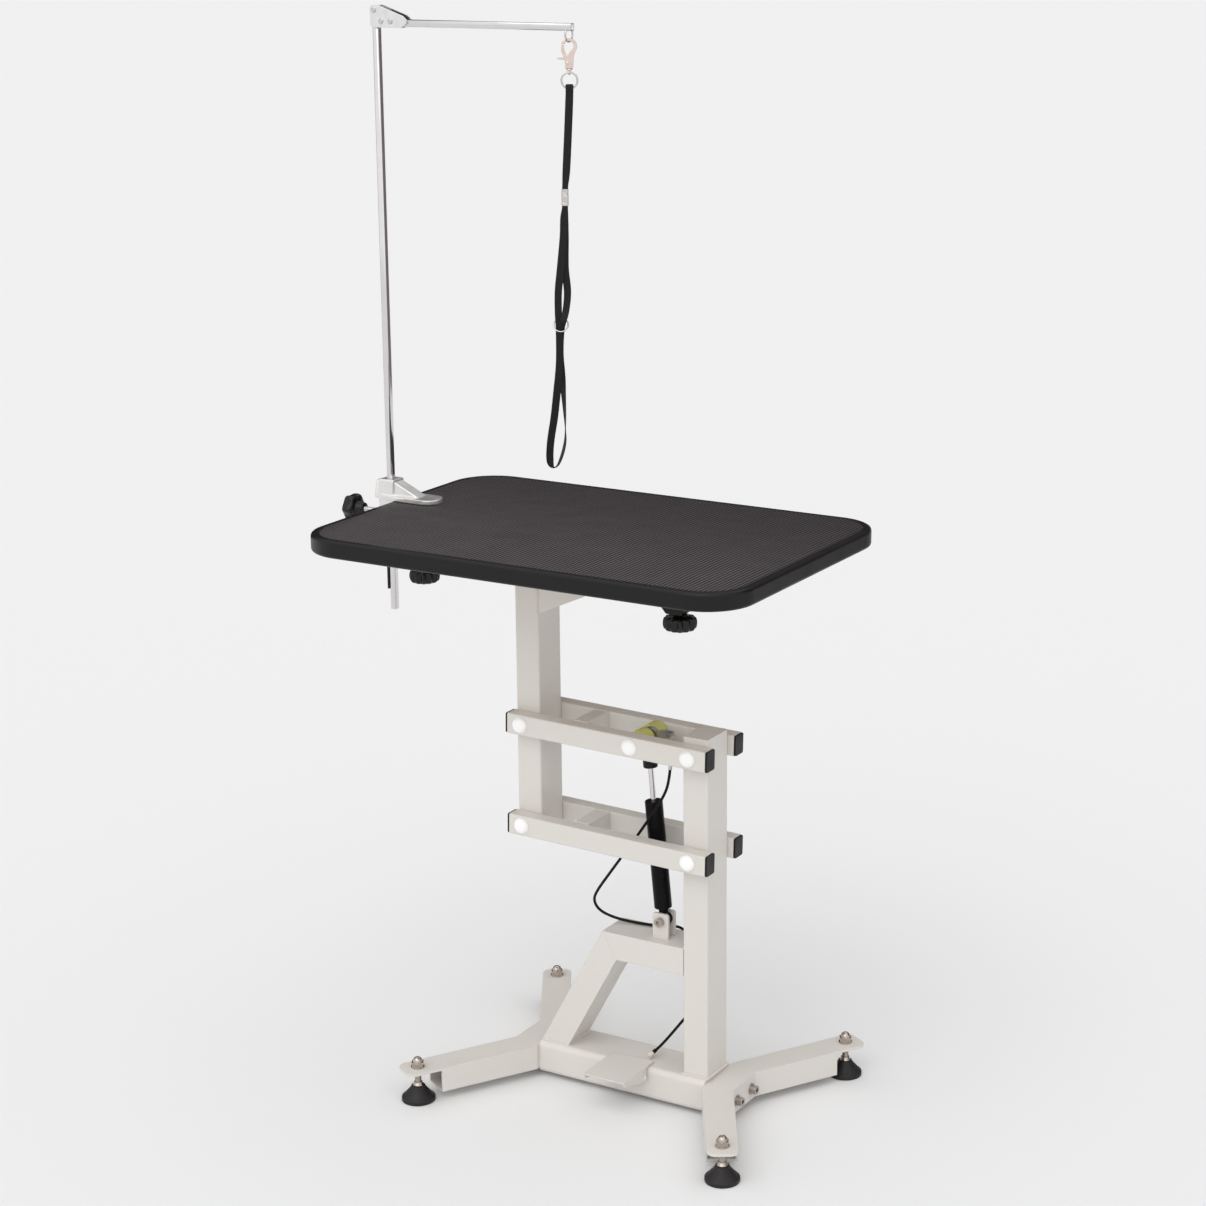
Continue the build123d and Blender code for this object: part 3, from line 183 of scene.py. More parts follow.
# ---------------------------------------------------------------- materials
class Surface:
    """A procedural material: base colour with mottling, grain in the bump, rounded edges, and a painted
    highlight along edges.
    """

    def __init__(self, name, colour, roughness, metallic=0.0, coat=0.0):
        self.material = bpy.data.materials.new(name)
        self.material.use_nodes = True
        self.tree = self.material.node_tree
        self.shader = self.tree.nodes["Principled BSDF"]
        self.shader.inputs["Roughness"].default_value = roughness
        self.shader.inputs["Metallic"].default_value = metallic
        self.shader.inputs["Coat Weight"].default_value = coat
        self.shader.inputs["Coat Roughness"].default_value = 0.12
        self.shader.inputs["Base Color"].default_value = (*colour, 1)
        self.colour = colour
        self.roughness = roughness
        self.position = self.node("ShaderNodeTexCoord").outputs["Object"]
        self.colour_out = None
        self.normal_out = None

    def node(self, kind, **values):
        made = self.tree.nodes.new(kind)
        for key, value in values.items():
            setattr(made, key, value)
        return made

    def link(self, a, b):
        self.tree.links.new(a, b)

    def noise(self, scale, detail=3.0, stretch=None, source=None):
        """Noise of so many features to the metre, stretched along an axis where that is asked for."""
        texture = self.node("ShaderNodeTexNoise")
        texture.inputs["Scale"].default_value = scale
        texture.inputs["Detail"].default_value = detail
        place = source or self.position
        if stretch:
            mapping = self.node("ShaderNodeMapping")
            mapping.inputs["Scale"].default_value = stretch
            self.link(place, mapping.inputs["Vector"])
            place = mapping.outputs["Vector"]
        self.link(place, texture.inputs["Vector"])
        return texture.outputs["Fac"]

    def spread(self, value, low, high, from_low=0.3, from_high=0.7):
        """A value carried from one range to another."""
        node = self.node("ShaderNodeMapRange")
        node.inputs["From Min"].default_value = from_low
        node.inputs["From Max"].default_value = from_high
        node.inputs["To Min"].default_value = low
        node.inputs["To Max"].default_value = high
        self.link(value, node.inputs["Value"])
        return node.outputs["Result"]

    def blend(self, factor, a, b):
        """Two colours mixed by a factor. Each is a tuple or another node's output."""
        mix = self.node("ShaderNodeMix", data_type="RGBA")
        self.link(factor, mix.inputs["Factor"])
        for socket, value in (("A", a), ("B", b)):
            if isinstance(value, tuple):
                mix.inputs[socket].default_value = (*value, 1)
            else:
                self.link(value, mix.inputs[socket])
        return mix.outputs["Result"]

    def mottle(self, scale, strength, detail=3.0):
        """Slow changes of brightness over the surface."""
        low = tuple(c * (1 - strength) for c in self.colour)
        high = tuple(min(1.0, c * (1 + strength)) for c in self.colour)
        self.colour_out = self.blend(self.noise(scale, detail), low, high)
        return self

    def specks(self, scale, amount, colour, size=0.12):
        """Small scattered spots, such as dust or flakes."""
        cells = self.node("ShaderNodeTexVoronoi")
        cells.inputs["Scale"].default_value = scale
        self.link(self.position, cells.inputs["Vector"])
        mask = self.spread(cells.outputs["Distance"], amount, 0.0, 0.0, size)
        self.colour_out = self.blend(mask, self.colour_out or self.colour, colour)
        return self

    def uneven(self, scale, low, high, stretch=None):
        """Roughness that changes over the surface, as handling and plating leave it."""
        self.link(self.spread(self.noise(scale, 4.0, stretch), low, high), self.shader.inputs["Roughness"])
        return self

    def grain(self, scale, depth, detail=2.0, stretch=None):
        """Fine relief of a given depth in metres."""
        self.relief(self.noise(scale, detail, stretch), depth)
        return self

    def relief(self, height, depth):
        """Bump from any height output, on top of what is there."""
        bump = self.node("ShaderNodeBump")
        bump.inputs["Distance"].default_value = depth
        bump.inputs["Strength"].default_value = 1.0
        self.link(height, bump.inputs["Height"])
        if self.normal_out:
            self.link(self.normal_out, bump.inputs["Normal"])
        self.normal_out = bump.outputs["Normal"]
        return self

    def rounded(self, radius):
        """Edges that catch the light as if they were rounded."""
        bevel = self.node("ShaderNodeBevel", samples=6)
        bevel.inputs["Radius"].default_value = radius
        self.normal_out = bevel.outputs["Normal"]
        return self

    def painted_edge_highlight(self, radius, colour, strength):
        """A painted highlight: a thin change to a lighter colour along edges, broken up by noise, standing in
        for the light that edges catch.
        """
        bevel = self.node("ShaderNodeBevel", samples=4)
        bevel.inputs["Radius"].default_value = radius
        geometry = self.node("ShaderNodeNewGeometry")
        facing = self.node("ShaderNodeVectorMath", operation="DOT_PRODUCT")
        self.link(bevel.outputs["Normal"], facing.inputs[0])
        self.link(geometry.outputs["True Normal"], facing.inputs[1])
        edge = self.spread(facing.outputs["Value"], strength, 0.0, 0.72, 0.96)
        patchy = self.node("ShaderNodeMath", operation="MULTIPLY")
        self.link(edge, patchy.inputs[0])
        self.link(self.spread(self.noise(70, 4.0), 0.35, 1.0), patchy.inputs[1])
        self.colour_out = self.blend(patchy.outputs[0], self.colour_out or self.colour, colour)
        return self

    def done(self):
        if self.colour_out:
            self.link(self.colour_out, self.shader.inputs["Base Color"])
        if self.normal_out:
            self.link(self.normal_out, self.shader.inputs["Normal"])
        return self.material


def powder_coat():
    paint = Surface("powder_coat", (0.685, 0.655, 0.615), 0.42)
    paint.shader.inputs["Specular IOR Level"].default_value = 0.4
    paint.mottle(5, 0.022).specks(55, 0.25, (0.60, 0.57, 0.53), 0.05)
    # The lighter colour along the frame's edges is a painted highlight.
    paint.painted_edge_highlight(1.2 * MM, (0.77, 0.745, 0.71), 0.8).rounded(1.1 * MM)
    paint.grain(1100, 0.00003).uneven(30, 0.36, 0.5)
    return paint.done()


def weld_paint():
    paint = Surface("painted_weld", (0.66, 0.63, 0.59), 0.45)
    paint.mottle(160, 0.05).grain(1500, 0.00005).uneven(60, 0.38, 0.55)
    return paint.done()


def moulded_black(name, roughness, tone=0.007, shine=0.22, grain=0.00002, radius=0.8):
    plastic = Surface(name, (tone * 1.15, tone, tone * 1.03), roughness)
    plastic.shader.inputs["Specular IOR Level"].default_value = shine
    plastic.mottle(40, 0.18).specks(260, 0.2, (tone * 3, tone * 3, tone * 3), 0.05)
    plastic.rounded(radius * MM).grain(1600, grain)
    plastic.uneven(45, roughness - 0.06, roughness + 0.08)
    return plastic.done()


def ribbed_rubber():
    """The mat: a painted highlight on the rib crests, and painted shade, near black, in the grooves between
    them.
    """
    rubber = Surface("ribbed_rubber", (0.108, 0.091, 0.096), 0.55)
    rubber.shader.inputs["Specular IOR Level"].default_value = 0.3
    rubber.mottle(14, 0.14).specks(420, 0.25, (0.16, 0.15, 0.15), 0.07)
    # Painted light on the ribs: crests keep the lighter mottled colour as a painted highlight, and the
    # grooves fade to near black as painted shade.
    crest = rubber.node("ShaderNodeAttribute", attribute_name="crest")
    rubber.colour_out = rubber.blend(crest.outputs["Fac"], (0.002, 0.0016, 0.0017), rubber.colour_out)
    weave = rubber.node("ShaderNodeTexWave", wave_type="BANDS", bands_direction="Y")
    weave.inputs["Scale"].default_value = 55
    weave.inputs["Distortion"].default_value = 0.5
    rubber.link(rubber.position, weave.inputs["Vector"])
    rubber.relief(weave.outputs["Fac"], 0.0003)
    rubber.grain(1800, 0.00003).uneven(25, 0.46, 0.62)
    return rubber.done()


def edge_rubber():
    rubber = Surface("edge_rubber", (0.004, 0.0033, 0.0036), 0.34)
    rubber.shader.inputs["Specular IOR Level"].default_value = 0.3
    rubber.mottle(22, 0.12).specks(300, 0.15, (0.05, 0.05, 0.05), 0.05)
    rubber.grain(900, 0.000015).uneven(18, 0.3, 0.44)
    return rubber.done()


def fibreboard():
    board = Surface("fibreboard", (0.34, 0.25, 0.16), 0.8)
    board.mottle(90, 0.18, 6).grain(1400, 0.00008, 4, (1, 0.25, 1))
    return board.done()


def plated(name, colour, roughness, radius=0.5, streak=None):
    metal = Surface(name, colour, roughness, metallic=1.0)
    metal.mottle(60, 0.06).specks(500, 0.2, tuple(c * 0.5 for c in colour), 0.04)
    metal.rounded(radius * MM).grain(700, 0.000004, 2, streak)
    metal.uneven(120, roughness * 0.7, roughness * 1.5, streak)
    return metal.done()


def cast_silver():
    cast = Surface("cast_silver", (0.79, 0.78, 0.765), 0.34, metallic=0.85)
    cast.mottle(45, 0.07, 5).specks(330, 0.3, (0.5, 0.49, 0.48), 0.06)
    cast.grain(420, 0.00005, 3).grain(2200, 0.00002).uneven(60, 0.26, 0.44)
    return cast.done()


def gloss_white():
    cap = Surface("gloss_white", (0.95, 0.945, 0.935), 0.2, coat=0.4)
    cap.mottle(80, 0.02).rounded(0.6 * MM).grain(500, 0.000006)
    cap.uneven(40, 0.16, 0.28)
    return cap.done()


def spacer_yellow():
    plastic = Surface("spacer_yellow", (0.60, 0.585, 0.18), 0.4)
    plastic.shader.inputs["Subsurface Weight"].default_value = 0.1
    plastic.shader.inputs["Subsurface Radius"].default_value = (0.003, 0.003, 0.001)
    plastic.mottle(120, 0.08).rounded(1.2 * MM).grain(900, 0.00002).uneven(60, 0.34, 0.5)
    return plastic.done()


def spring_paint():
    paint = Surface("spring_paint", (0.0045, 0.0038, 0.004), 0.34)
    paint.shader.inputs["Specular IOR Level"].default_value = 0.1
    paint.mottle(60, 0.2).specks(380, 0.25, (0.05, 0.05, 0.05), 0.05)
    paint.rounded(0.8 * MM).grain(1200, 0.00002).uneven(50, 0.25, 0.4)
    return paint.done()


def webbing():
    """Nylon webbing: a tight herringbone, in millimetres along and across the band."""
    nylon = Surface("nylon_webbing", (0.013, 0.011, 0.0115), 0.62)
    nylon.shader.inputs["Specular IOR Level"].default_value = 0.2
    nylon.shader.inputs["Sheen Weight"].default_value = 0.12
    nylon.shader.inputs["Sheen Roughness"].default_value = 0.4
    uv = nylon.node("ShaderNodeUVMap", uv_map="band").outputs["UV"]
    tufts = nylon.noise(0.35, 4.0, source=uv)
    nylon.colour_out = nylon.blend(tufts, (0.009, 0.0075, 0.008), (0.02, 0.0175, 0.018))
    for slant in (-1, 1):
        mapping = nylon.node("ShaderNodeMapping")
        mapping.inputs["Rotation"].default_value = (0, 0, slant * radians(58))
        nylon.link(uv, mapping.inputs["Vector"])
        threads = nylon.node("ShaderNodeTexWave", wave_type="BANDS", bands_direction="X")
        threads.inputs["Scale"].default_value = 0.42
        threads.inputs["Distortion"].default_value = 0.4
        threads.inputs["Detail"].default_value = 1.0
        nylon.link(mapping.outputs["Vector"], threads.inputs["Vector"])
        nylon.relief(threads.outputs["Fac"], 0.00014)
    return nylon.done()


def cable_sheath():
    vinyl = Surface("cable_sheath", (0.005, 0.0047, 0.005), 0.38)
    vinyl.shader.inputs["Specular IOR Level"].default_value = 0.15
    vinyl.mottle(80, 0.2).grain(1500, 0.00002).uneven(70, 0.32, 0.46)
    return vinyl.done()


# ---------------------------------------------------------------- mesh helpers
def add_piece(name, verts, faces, material, body=None, smooth=True):
    """A mesh object in the shared frame, riding on a body where one is given."""
    mesh = bpy.data.meshes.new(name)
    mesh.from_pydata([tuple(v) for v in verts], [], faces)
    mesh.validate()
    mesh.materials.append(material)
    for polygon in mesh.polygons:
        polygon.use_smooth = smooth
    piece = bpy.data.objects.new(name, mesh)
    bpy.context.collection.objects.link(piece)
    if body:
        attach(piece, body)
    return piece


def in_mm(pairs):
    """Pairs of millimetres as metres."""
    return [(a * MM, b * MM) for a, b in pairs]


def across(axis):
    """Two unit vectors square to an axis and to each other."""
    helper = AXIS_Z if abs(axis.z) < 0.9 else AXIS_X
    first = axis.cross(helper).normalized()
    return first, axis.cross(first)


def grid_faces(rows, columns, closed_rows=False, closed_columns=True):
    """Quads over a grid of points stored row by row."""
    faces = []
    last_row = rows if closed_rows else rows - 1
    last_column = columns if closed_columns else columns - 1
    for i in range(last_row):
        for j in range(last_column):
            a = i * columns + j
            b = i * columns + (j + 1) % columns
            c = ((i + 1) % rows) * columns + (j + 1) % columns
            d = ((i + 1) % rows) * columns + j
            faces.append((a, b, c, d))
    return faces


def rounded_outline(half_a, half_b, corner, inset, turns):
    """Places round a rectangle with rounded corners, moved inwards by an inset."""
    outline = []
    for quarter in range(4):
        sign_a = 1 if quarter in (0, 3) else -1
        sign_b = 1 if quarter in (0, 1) else -1
        for k in range(turns + 1):
            angle = pi / 2 * (quarter + k / turns)
            a = sign_a * (half_a - corner) + (corner - inset) * cos(angle)
            b = sign_b * (half_b - corner) + (corner - inset) * sin(angle)
            outline.append((a, b))
    return outline


def lathe(name, origin, axis, profile, material, body, segments=64, lobes=0, depth=0.0, sharp=1.0):
    """A turned piece. Its profile is (radius, height) pairs in metres, and lobes flute its rim."""
    first, second = across(axis)
    rim = max(radius for radius, _ in profile)
    verts = []
    for radius, height in profile:
        for k in range(segments):
            angle = 2 * pi * k / segments
            dip = (0.5 - 0.5 * cos(lobes * angle)) ** sharp if lobes else 0.0
            reach = radius * (1 - depth * dip * (radius / rim) ** 3)
            verts.append(origin + axis * height + (first * cos(angle) + second * sin(angle)) * reach)
    return add_piece(name, verts, grid_faces(len(profile), segments), material, body)


def thread(name, origin, axis, radius, length, pitch, material, body):
    """A screw thread: a rod whose surface rises and falls along a helix."""
    first, second = across(axis)
    segments = 24
    rows = int(length / pitch * 6)
    verts = []
    for i in range(rows + 1):
        height = length * i / rows
        for k in range(segments):
            angle = 2 * pi * k / segments
            phase = (height / pitch - k / segments) % 1.0
            reach = radius - 0.55 * pitch * (1 - abs(2 * phase - 1))
            verts.append(origin + axis * height + (first * cos(angle) + second * sin(angle)) * reach)
    return add_piece(name, verts, grid_faces(rows + 1, segments), material, body)


def tube(name, points, radius, material, body=None, sides=12, closed=False, ripple=0.0, ripple_step=0.0016):
    """A round bar along a line of points. A ripple makes it a weld bead."""
    points = [Vector(p) for p in points]
    count = len(points)
    verts = []
    side = None
    run = 0.0
    for i, point in enumerate(points):
        before = points[i - 1] if i or closed else points[0]
        after = points[(i + 1) % count] if i < count - 1 or closed else points[-1]
        along = (after - before).normalized()
        if side is None:
            side = across(along)[0]
        side = (side - along * side.dot(along)).normalized()
        up = along.cross(side)
        if i:
            run += (point - points[i - 1]).length
        reach = radius * (1 + ripple * sin(2 * pi * run / ripple_step))
        for k in range(sides):
            angle = 2 * pi * k / sides
            verts.append(point + (side * cos(angle) + up * sin(angle)) * reach)
    faces = grid_faces(count, sides, closed_rows=closed)
    if not closed:
        faces.append(tuple(range(sides - 1, -1, -1)))
        faces.append(tuple(range((count - 1) * sides, count * sides)))
    return add_piece(name, verts, faces, material, body)


def weld(name, corners, material, body, radius=2.0, closed=True):
    """A weld bead along straight runs between corners, in metres."""
    points = []
    ends = corners + corners[:1] if closed else corners
    for a, b in zip(ends, ends[1:]):
        a, b = Vector(a), Vector(b)
        steps = max(2, int((b - a).length / (0.4 * MM)))
        points += [a.lerp(b, i / steps) for i in range(steps)]
    if not closed:
        points.append(Vector(ends[-1]))
    return tube(name, points, radius * MM, material, body, sides=8, closed=closed, ripple=0.13)


def jaw_shape():
    """The casting's upper jaw: a paddle with a raised rim, swept up into the collar. Millimetres."""
    low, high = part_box("clamp_body")
    low, high = Vector(low) / MM, Vector(high) / MM
    middle_y = middle("clamp_body").y / MM
    floor, plate_top, rim_rise, rim_width = 850.1, 855.6, 1.1, 2.6
    crest_high, crest_low, fall_from, fall_length = 877.5, 857, low.x + 22, 44
    narrow, widest, web_half, web_thinned = 13.2, 21.0, 13.0, 4.5
    flare_from, flare_length, tip_length = 0.02, 0.42, 0.26
    length = high.x - low.x
    rows, columns = 70, 28
    top, bottom = [], []
    for i in range(rows + 1):
        t = i / rows
        x = low.x + 0.6 + (length - 0.8) * t
        flare = min(1.0, max(0.0, (t - flare_from) / flare_length))
        half = narrow + (widest - narrow) * (flare * flare * (3 - 2 * flare))
        tip = max(0.0, (t - 1 + tip_length) / tip_length)
        half *= sqrt(max(0.004, 1 - tip ** 2.4))
        fall = min(1.0, max(0.0, (x - fall_from) / fall_length))
        crest = crest_high - (crest_high - crest_low) * (fall * fall * (3 - 2 * fall)) ** 0.8
        for j in range(columns + 1):
            v = 2 * j / columns - 1
            share = min(1.0, abs(v) * half / (web_half - web_thinned * fall))
            web = 1 - share ** (5 - 3.2 * fall)
            rim = rim_rise * max(0.0, 1 - ((1 - abs(v)) * half / rim_width) ** 2)
            plate = plate_top + rim
            top.append((x, middle_y + v * half, plate + (crest - plate) * web))
            bottom.append((x, middle_y + v * half, floor))
    return top, bottom, rows, columns


def jaw_mesh():
    """The swept jaw as a closed mesh, to be joined to the CAD casting."""
    top, bottom, rows, columns = jaw_shape()
    width, count = columns + 1, len(top)
    faces = grid_faces(rows + 1, width, closed_columns=False)
    faces += [tuple(count + v for v in reversed(face)) for face in faces]
    edge = [i * width for i in range(rows + 1)] + [rows * width + j for j in range(1, width)]
    edge += [i * width + width - 1 for i in range(rows - 1, -1, -1)] + list(range(width - 2, 0, -1))
    for a, b in zip(edge, edge[1:] + edge[:1]):
        faces.append((a, b, b + count, a + count))
    mesh = bpy.data.meshes.new("jaw")
    mesh.from_pydata([Vector(v) * MM for v in top + bottom], [], faces)
    shape = bmesh.new()
    shape.from_mesh(mesh)
    bmesh.ops.recalc_face_normals(shape, faces=shape.faces)
    shape.to_mesh(mesh)
    shape.free()
    return mesh


def softened(node, name, material, body, voxel, smoothing, extra=None):
    """A copy of a CAD node with its edges rounded as a casting's or a pressing's are."""
    piece = nodes[node].copy()
    piece.data = nodes[node].data.copy()
    if extra:
        both = bmesh.new()
        both.from_mesh(piece.data)
        both.from_mesh(extra)
        both.to_mesh(piece.data)
        both.free()
    piece.name = name
    piece.parent = None
    piece.matrix_world = Matrix.Identity(4)
    bpy.context.collection.objects.link(piece)
    remesh = piece.modifiers.new("remesh", "REMESH")
    remesh.mode = "VOXEL"
    remesh.voxel_size = voxel * MM
    smooth = piece.modifiers.new("smooth", "CORRECTIVE_SMOOTH")
    smooth.smooth_type = "LENGTH_WEIGHTED"
    smooth.iterations = smoothing
    smooth.use_only_smooth = True
    settled = bpy.data.meshes.new_from_object(piece.evaluated_get(bpy.context.evaluated_depsgraph_get()))
    piece.modifiers.clear()
    piece.data = settled
    settled.materials.clear()
    settled.materials.append(material)
    for polygon in settled.polygons:
        polygon.use_smooth = True
        polygon.material_index = 0
    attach(piece, body)
    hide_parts(node)
    return piece


# ---------------------------------------------------------------- tabletop
def build_mat(material, rim_material):
    """The ribbed mat: fine ribs across the table, inside a plain rim."""
    low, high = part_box("table_mat")
    corner = 63 * MM
    rib, rib_height, per_rib, sunk = 6.1 * MM, 1.5 * MM, 8, 0.2 * MM
    half_length = (high[0] - low[0]) / 2
    half_width = (high[1] - low[1]) / 2
    centre_x, centre_y = (low[0] + high[0]) / 2, (low[1] + high[1]) / 2
    rim, rim_slope = 5 * MM, 1 * MM
    inner_length = half_length - rim

    def width_at(x, inset):
        """Half the width of the rounded outline, at a distance from the middle."""
        radius = corner - inset
        straight = half_length - corner
        beyond = max(0.0, abs(x) - straight)
        return half_width - corner + sqrt(max(0.0, radius * radius - beyond * beyond))

    columns = int(2 * inner_length / rib * per_rib)
    verts, painted_rib_light = [], []
    for i in range(columns + 1):
        x = -inner_length + 2 * inner_length * i / columns
        phase = (x / rib) % 1.0
        share = 1 - abs(2 * phase - 1) ** 1.6
        rise = rib_height * share
        edge = width_at(x, rim)
        across_points = (
            (-edge, 0.0), (-edge + rim_slope, rise), (0.0, rise), (edge - rim_slope, rise), (edge, 0.0),
        )
        for y, height in across_points:
            verts.append((centre_x + x, centre_y + y, high[2] - rib_height + height - sunk))
            # How high each point sits on its rib, which sets the painted highlight on crests and the painted
            # shade in grooves.
            painted_rib_light.append(share ** 3 if height else 0.0)
    mat = add_piece("mat_ribs", verts, grid_faces(columns + 1, 5, closed_columns=False), material, "lift")
    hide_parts("table_mat")
    layer = mat.data.attributes.new("crest", "FLOAT", "POINT")
    for i, value in enumerate(painted_rib_light):
        layer.data[i].value = value
    if mat.data.polygons[0].normal.z < 0:
        mat.data.flip_normals()

    rings = ((0.0, -2.8), (0.0, -0.6), (0.6, 0.0), (4.2, 0.0), (4.9, -0.5), (5.3, -1.5))
    verts = []
    turns = 24
    for inset_mm, height in rings:
        for x, y in rounded_outline(half_length, half_width, corner, inset_mm * MM, turns):
            verts.append((centre_x + x, centre_y + y, high[2] + height * MM))
    rim_piece = add_piece("mat_rim", verts, grid_faces(len(rings), 4 * (turns + 1)), rim_material, "lift")


# ---------------------------------------------------------------- knobs and screws
def star_knob(name, node, origin, axis, radius, thick, lobes, material, shank_material, body, hub, shank):
    """A moulded hand knob with rounded lobes, its hub and its threaded shank."""
    half = thick / 2
    profile = [(0.0, -half)]
    profile += [(radius * 0.55, -half), (radius * 0.6, -half + 0.8 * MM), (radius * 0.82, -half + 0.4 * MM)]
    steps = 10
    for i in range(steps + 1):
        angle = pi * (i / steps - 0.5)
        profile.append((radius - 3.2 * MM * (1 - cos(angle)), (half - 1.2 * MM) * sin(angle)))
    profile += [(radius * 0.6, half - 0.3 * MM), (hub[0] * 1.15, half), (hub[0], half + 1 * MM)]
    profile += [(hub[0] * 0.92, half + hub[1] - 1 * MM), (hub[0] * 0.8, half + hub[1]), (0.0, half + hub[1])]
    knob = lathe(name, origin, axis, profile, material, body, segments=192, lobes=lobes,
                 depth=0.17, sharp=0.8)
    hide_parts(node)
    start = origin + axis * (half + hub[1] - 1 * MM)
    screw = thread(f"{name}_thread", start, axis, shank[0], shank[1], 1.5 * MM, shank_material, body)


def build_knobs(black, metal):
    """The star knob on the post, and the fluted knobs under the table."""
    low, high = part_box("post_knob")
    radius = (high[2] - low[2]) / 2 + 0.5 * MM
    thick = 18 * MM
    centre = Vector((low[0] + thick / 2, (low[1] + high[1]) / 2, (low[2] + high[2]) / 2))
    shank = high[0] - low[0] - thick - 12 * MM
    star_knob("post_star", "post_knob", centre, AXIS_X, radius, thick, 6, black, metal, "post_knob",
              (10 * MM, 12 * MM), (4 * MM, shank))

    for name, node, body, thick_mm, hub_mm, screw_mm in (
        ("lock_wheel", "lock_knob", "lock_knob", 20, 4, 5),
        ("clamp_wheel", "clamp_screw", "clamp_screw", 19, 5, 5),
    ):
        low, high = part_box(node)
        radius = (high[1] - low[1]) / 2
        centre_xy = middle(node)
        thick = thick_mm * MM
        centre = Vector((centre_xy.x, centre_xy.y, low[2] + thick / 2))
        length = high[2] - low[2] - thick - hub_mm * MM
        if node == "clamp_screw":
            length -= 9 * MM
        star_knob(name, node, centre, AXIS_Z, radius, thick, 12, black, metal, body,
                  (11 * MM, hub_mm * MM), (screw_mm * MM, length))

    low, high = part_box("clamp_screw")
    middle_xy = middle("clamp_screw")
    top = Vector((middle_xy.x, middle_xy.y, high[2] - 9 * MM))
    profile = [(0, 0), (6, 0), (8, 0.4), (13, 2.5), (14, 4), (14, 8), (13.4, 8.8), (0, 8.9)]
    pad = lathe("clamp_pad", top, AXIS_Z, in_mm(profile), black, "clamp_screw")


def build_threads(metal):
    """Threads on the foot studs, between each pad's neck and its leg."""
    for place in PLACES:
        node = f"foot_stud_{place}"
        low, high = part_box(node)
        start = Vector(((low[0] + high[0]) / 2, (low[1] + high[1]) / 2, low[2]))
        length = high[2] - low[2]
        screw = thread(f"stud_{place}", start, AXIS_Z, 4.95 * MM, length, 1.5 * MM, metal, f"foot_{place}")
        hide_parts(node)
        collar_base = start + AXIS_Z * 5.5 * MM
        profile = [(4.5, 0), (7.6, 0), (8, 0.5), (8, 1.6), (6.6, 2.2), (6.4, 5.4), (5.8, 6), (4.6, 6.2)]
        collar = lathe(f"collar_{place}", collar_base, AXIS_Z, in_mm(profile),
                       metal, f"foot_{place}", segments=48)


def build_pads(rubber):
    """Moulded rubber feet: a skirt, a hollowed cone and a raised neck."""
    for place in PLACES:
        node = f"foot_pad_{place}"
        low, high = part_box(node)
        origin = Vector(((low[0] + high[0]) / 2, (low[1] + high[1]) / 2, low[2]))
        profile = [
            (0, 0.3), (20, 0.3), (22, 0), (24, 0), (24.7, 0.4), (25, 1.2), (25, 5.6), (24.6, 6.5), (23.8, 7),
            (19.5, 11.2), (15, 16.2), (12, 20), (10.4, 22.2), (10.2, 23.4), (9.4, 24), (5, 24),
        ]
        pad = lathe(f"pad_{place}", origin, AXIS_Z, in_mm(profile), rubber,
                    f"foot_{place}", segments=96)
        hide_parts(node)


# ---------------------------------------------------------------- cable
CABLE_POINTS = [
    (175, 0, 517), (177, -8, 492), (171, -16, 471), (157, -20, 447), (133, -22, 410),
    (105, -21.5, 371), (81, -19, 338), (61, -15.5, 311), (50, -11, 292), (52, -4, 276),
    (61, 3, 266), (81, 10.5, 258.5), (108, 16.5, 255.8), (133, 20, 255.8), (155, 26, 257),
    (170, 33.5, 256.5), (181, 37, 248), (192, 38.5, 231), (203, 38.5, 208), (206, 38.5, 178),
    (199, 38, 148), (184, 35, 119), (168, 27, 96), (157, 16, 79), (150, 4, 69), (147, -7, 65.5),
]


def smooth_line(name, points_mm, steps=8):
    """Points along a NURBS spline whose control points are given in millimetres."""
    curve = bpy.data.curves.new(name, "CURVE")
    curve.dimensions = "3D"
    curve.resolution_u = steps
    spline = curve.splines.new("NURBS")
    spline.points.add(len(points_mm) - 1)
    for point, place in zip(spline.points, points_mm):
        point.co = (*(c * MM for c in place), 1)
    spline.order_u = 3
    spline.use_endpoint_u = True
    guide = bpy.data.objects.new(name, curve)
    mesh = bpy.data.meshes.new_from_object(guide)
    line = [vertex.co.copy() for vertex in mesh.vertices]
    bpy.data.objects.remove(guide)
    return line


def build_cable(sheath, metal):
    """The release cable: it leaves the release head, loops down the side and ends behind the pedal."""
    line = smooth_line("cable_line", CABLE_POINTS, 12)
    cable = tube("release_sheath", line, 2.1 * MM, sheath, sides=16)
    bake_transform(cable)
    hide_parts("release_cable")

    top, below = Vector(CABLE_POINTS[0]) * MM, Vector(CABLE_POINTS[1]) * MM
    way = (top - below).normalized()
    profile = [(2.2, -7), (2.9, -6.6), (2.9, -0.5), (3.4, 0), (3.6, 0.2), (3.6, 3), (2.6, 3.4)]
    profile += [(2.4, 9), (1, 10)]
    ferrule = lathe("cable_ferrule", top, way, in_mm(profile), metal, "rod", segments=32)
    nose = middle("release_lever") + Vector((8, 0, 0)) * MM
    route = [top + way * 6 * MM, top.lerp(nose, 0.6), nose]
    wire = tube("inner_wire", route, 0.75 * MM, metal, "rod", sides=8)
    end, before = Vector(CABLE_POINTS[-1]) * MM, Vector(CABLE_POINTS[-2]) * MM
    way = (end - before).normalized()
    profile = [(2.2, -8), (2.9, -7.6), (2.9, -0.6), (2.2, -0.2)]
    stop = lathe("cable_stop", end, way, in_mm(profile), sheath, "base", segments=32)


# ---------------------------------------------------------------- strap
HANG_TURN = radians(30)
HANG_SIDE = Vector((cos(HANG_TURN), sin(HANG_TURN), 0))
HANG_OUT = Vector((sin(HANG_TURN), -cos(HANG_TURN), 0))
HANG_FROM = middle("hook_ring") * Vector((1, 1, 0))
